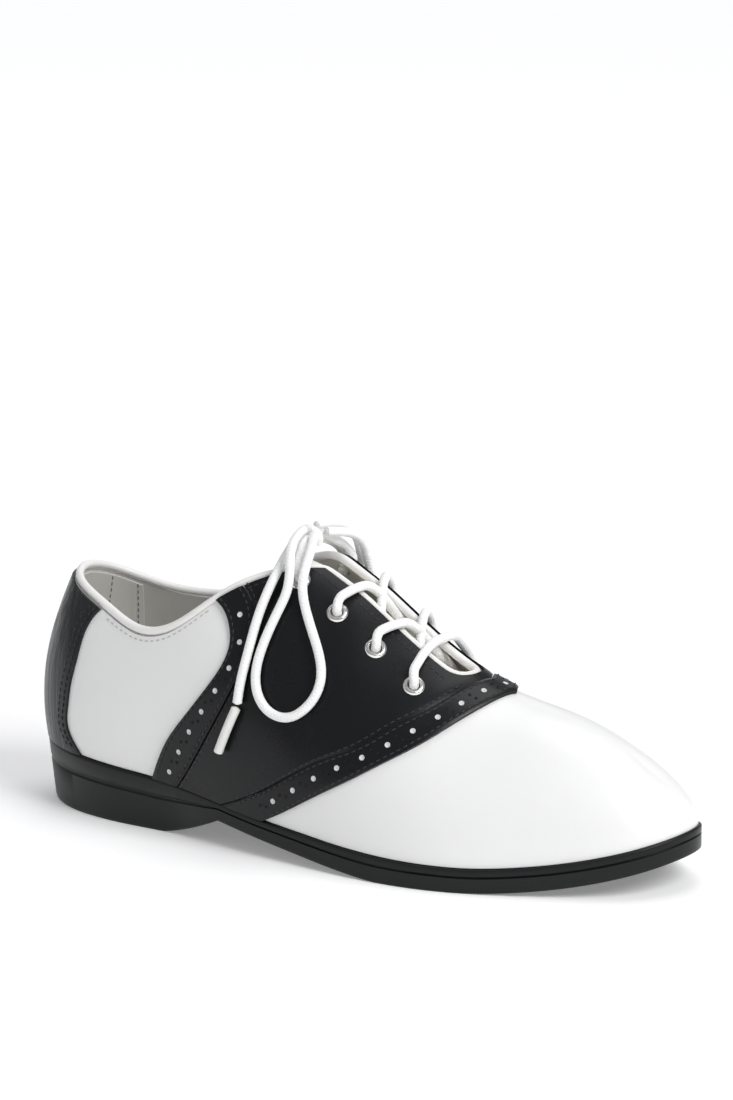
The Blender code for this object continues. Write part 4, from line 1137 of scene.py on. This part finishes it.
def makeBinding():
    end = float(roundAt(lengthAt(throatEnd) + bindingRadius))
    us = np.linspace(0, end, 900)
    us = np.sort(np.concatenate([us, end - (end - us[-120]) * np.linspace(0, 1, 200) ** 2]))
    sides = [raised(side, us, np.minimum(openingV(side, us, bindingRadius), 1), -0.5 * wall) for side in (1, -1)]
    line = evenly(np.concatenate([sides[0], sides[1][::-1][1:-1]]), bindingLook["step"], True)
    for _ in range(bindingLook["smooth"]):
        line = 0.5 * line + 0.25 * (np.roll(line, 1, 0) + np.roll(line, -1, 0))
    mesh = tubeMesh("rolled_binding", line, bindingRadius * bindingLook["fuller"], bindingLook["sides"], True)
    finishPiece("rolled_binding", mesh, pipingLeather, "piping", ["collar_binding"])


makeBinding()


def finer(grid, rows, across):
    # smooth curves both ways through a coarse grid of points
    count, wide = grid.shape[:2]
    grid = naturalSpline(np.arange(count), grid.reshape(count, -1))(rows * (count - 1)).reshape(len(rows), wide, 3)
    turned = np.swapaxes(grid, 0, 1).reshape(wide, -1)
    fine = naturalSpline(np.arange(wide), turned)(across * (wide - 1))
    return np.swapaxes(fine.reshape(len(across), len(rows), 3), 0, 1)


def makeTongue():
    look = dict(rows=60, across=41, coarseRows=15, coarseAcross=9, narrow=0.25, cornerRound=0.12)
    shares = np.linspace(tongueStart, tongueEnd, look["coarseRows"])
    us, depths = roundAt(lengthAt(shares)), tongueDepth(lengthAt(shares))
    along = np.linspace(0, 1, look["coarseRows"])
    width = tongueHalfWidth * (1 - look["narrow"] * along ** 1.5)
    spread = np.linspace(-1, 1, look["coarseAcross"])
    grids = [np.array([[underInstep(float(u), s * w, float(d) + depth) for s in spread]
                       for u, w, d in zip(us, width, depths)]) for depth in (0.0, tongueThickness)]
    rows, across = np.linspace(0, 1, look["rows"]), np.linspace(0, 1, look["across"])
    outer, inner = (finer(grid, rows, across) for grid in grids)
    corner = np.sqrt(1 - (1 - np.clip(rows / look["cornerRound"], 0.13, 1)) ** 2)
    middle = 0.5 * (outer[:, :1] + outer[:, -1:])
    for grid in (outer, inner):
        grid[..., 1] = middle[..., 1] + (grid[..., 1] - middle[..., 1]) * corner[:, None]
    fall = np.clip((np.abs(across - 0.5) - 0.42) / 0.08, 0, 0.96)
    soft = (0.5 - 0.5 * np.sqrt(1 - fall ** 2))[None, :, None]
    outer, inner = outer + (inner - outer) * soft, inner + (outer - inner) * soft
    mesh = meshOf("tongue_leather", *shell(outer[:, ::-1], inner[:, ::-1]))
    # the tongue's colour carries painted light as well as its own cream
    finishPiece("tongue_leather", mesh, tongueLeatherPaintedLight, "tongue_leather", ["tongue"])


makeTongue()
print("binding and tongue done")


def bridgedMesh(name, levels, sharp=35):
    # a closed solid from levels round the shoe, top level first
    levels = np.asarray(levels)
    count = levels.shape[1]
    faces = []
    for k in range(len(levels) - 1):
        for i in range(count):
            j = (i + 1) % count
            faces.append((k * count + i, k * count + j, (k + 1) * count + j, (k + 1) * count + i))
    base = (len(levels) - 1) * count
    for i in range(count // 2):
        top = [i, i + 1, count - i - 1, (count - i) % count]
        for ring in (top, [base + index for index in reversed(top)]):
            kept = list(dict.fromkeys(ring))
            if len(kept) > 2:
                faces.append(tuple(kept))
    return meshOf(name, levels.reshape(-1, 3), faces, sharp)


# down the sole's edge: share of its height, and how far it stands out
soleLook = dict(rows=220, steps=[(0.0, -1.0), (0.012, -0.55), (0.03, -0.15), (0.06, 0.0), (0.28, 0.0), (0.30, -0.8),
                                 (0.33, -1.0), (0.36, -0.8), (0.38, 0.0), (0.80, 0.0), (0.93, 0.0), (0.965, -0.25),
                                 (0.99, -0.65), (1.0, -1.0)])


def makeSole():
    us = roundList(soleLook["rows"])
    levels = []
    for share, stand in soleLook["steps"]:
        def level(side, u):
            flat = soleOutline(side, u)
            x = flat[..., 0]
            heel = 1 - ease(breast, archTop, x / outsoleLength + 0.5)
            depth = grooveDepth if 0.1 < share < 0.9 else edgeBreak
            flat = flat + outward(side, u) * (stand * depth - share * heelTaper * heel)[..., None]
            high, low = rimHeight(x), floorHeight(x)
            return np.concatenate([flat, (high + (low - high) * share)[..., None]], -1)
        levels.append(loopPoints(level, us))
    finishPiece("moulded_sole", bridgedMesh("moulded_sole", levels, 50), soleRubber, "sole", ["outsole"])


makeSole()
insoleLook = dict(rows=120, bevel=0.0003, bevelIn=0.0004)


def makeInsole():
    us = roundList(insoleLook["rows"])
    shrink = featherInset + wall + 2 * gap
    levels = []
    for height, more in ((insoleThickness, insoleLook["bevelIn"]), (insoleThickness - insoleLook["bevel"], 0.0),
                         (0.0, 0.0)):
        def line(side, u):
            flat = soleOutline(side, u) - (shrink + more) * outward(side, u)
            return np.concatenate([flat, rimHeight(flat[..., :1]) + gap + height], -1)
        levels.append(loopPoints(line, us))
    finishPiece("insole_board", bridgedMesh("insole_board", levels), liningLeather, "insole", ["insole"])


makeInsole()
print("sole done")


def makeEyelets():
    face, rim = overlayGap + saddleThickness, eyeletBore + eyeletWall
    profile = [(eyeletBore, face + 0.0004), (eyeletBore + 0.0002, face + 0.0007),
               (eyeletBore + 0.0006, face + 0.00085), (eyeletRadius - 0.0006, face + 0.0007),
               (eyeletRadius - 0.0002, face + 0.0004), (eyeletRadius, face + 0.0001), (rim, face),
               (rim - 0.0001, -wall), (eyeletBore, -wall - 0.0002)]
    for label, number, place in eyeletFrames():
        shape = bmesh.new()
        points = [shape.verts.new((r, 0, z)) for r, z in profile]
        ring = [shape.edges.new((points[i - 1], points[i])) for i in range(len(points))]
        bmesh.ops.spin(shape, geom=points + ring, cent=(0, 0, 0), axis=(0, 0, 1), angle=2 * math.pi, steps=40,
                       use_merge=True)
        bmesh.ops.recalc_face_normals(shape, faces=shape.faces)
        bmesh.ops.transform(shape, matrix=place, verts=shape.verts)
        mesh = smoothShade(meshFrom("eyelet", shape), 60)
        finishPiece(f"ring_{label}_{number + 1}", mesh, eyeletMetal, "eyelet_metal", [f"eyelet_{label}_{number + 1}"])


makeEyelets()
print("eyelets done")
for cutter in (slot, drills):
    bpy.data.objects.remove(cutter)

# the floor glows more away from the shoe, where the lamps don't reach
floorLook = dict(size=14.0, colour=(0.92, 0.92, 0.92), roughness=0.7, near=0.3, far=1.4, nearGlow=0.22, farGlow=0.66)
skyLook = dict(colour=(0.95, 0.96, 1.0), strength=0.36)
lamps = (("key", (1.2, -0.42, 1.15), 0.9, 19.0), ("fill", (-1.1, -0.9, 0.7), 1.0, 0.4),
         ("top", (0.1, 0.3, 1.6), 1.0, 6.0), ("back", (-0.6, 1.2, 0.9), 0.8, 1.5))


def makeStage():
    shape = bmesh.new()
    bmesh.ops.create_grid(shape, x_segments=1, y_segments=1, size=floorLook["size"])
    mesh = meshFrom("floor", shape)
    floor = newObject("floor", mesh)
    paper = newMaterial("floor", floorLook["colour"], floorLook["roughness"], **{"Emission Strength": 1.0})
    tree = paper.node_tree
    place = addNode(tree, "ShaderNodeTexCoord")
    away = addNode(tree, "ShaderNodeVectorMath", {0: place.outputs["Object"]}, operation="LENGTH")
    glow = addNode(tree, "ShaderNodeMapRange", {
        "From Min": floorLook["near"], "From Max": floorLook["far"], "To Min": floorLook["nearGlow"],
        "To Max": floorLook["farGlow"], "Value": away.outputs["Value"]})
    tree.links.new(glow.outputs["Result"], tree.nodes["Principled BSDF"].inputs["Emission Color"])
    mesh.materials.append(paper)
    for name, spotPlace, size, power in lamps:
        data = bpy.data.lights.new(name, "AREA")
        data.shape = "DISK"
        data.size = size
        data.energy = power
        lamp = newObject(name, data)
        lamp.location = spotPlace
        lamp.rotation_euler = (Vector((0, 0, 0.04)) - Vector(spotPlace)).to_track_quat("-Z", "Y").to_euler()
    world = bpy.data.worlds.new("studio")
    world.use_nodes = True
    sky = world.node_tree.nodes["Background"]
    sky.inputs["Color"].default_value = (*skyLook["colour"], 1)
    sky.inputs["Strength"].default_value = skyLook["strength"]
    scene.world = world
    scene.view_settings.view_transform = "Standard"
    scene.view_settings.look = "None"


makeStage()
print("stage done")
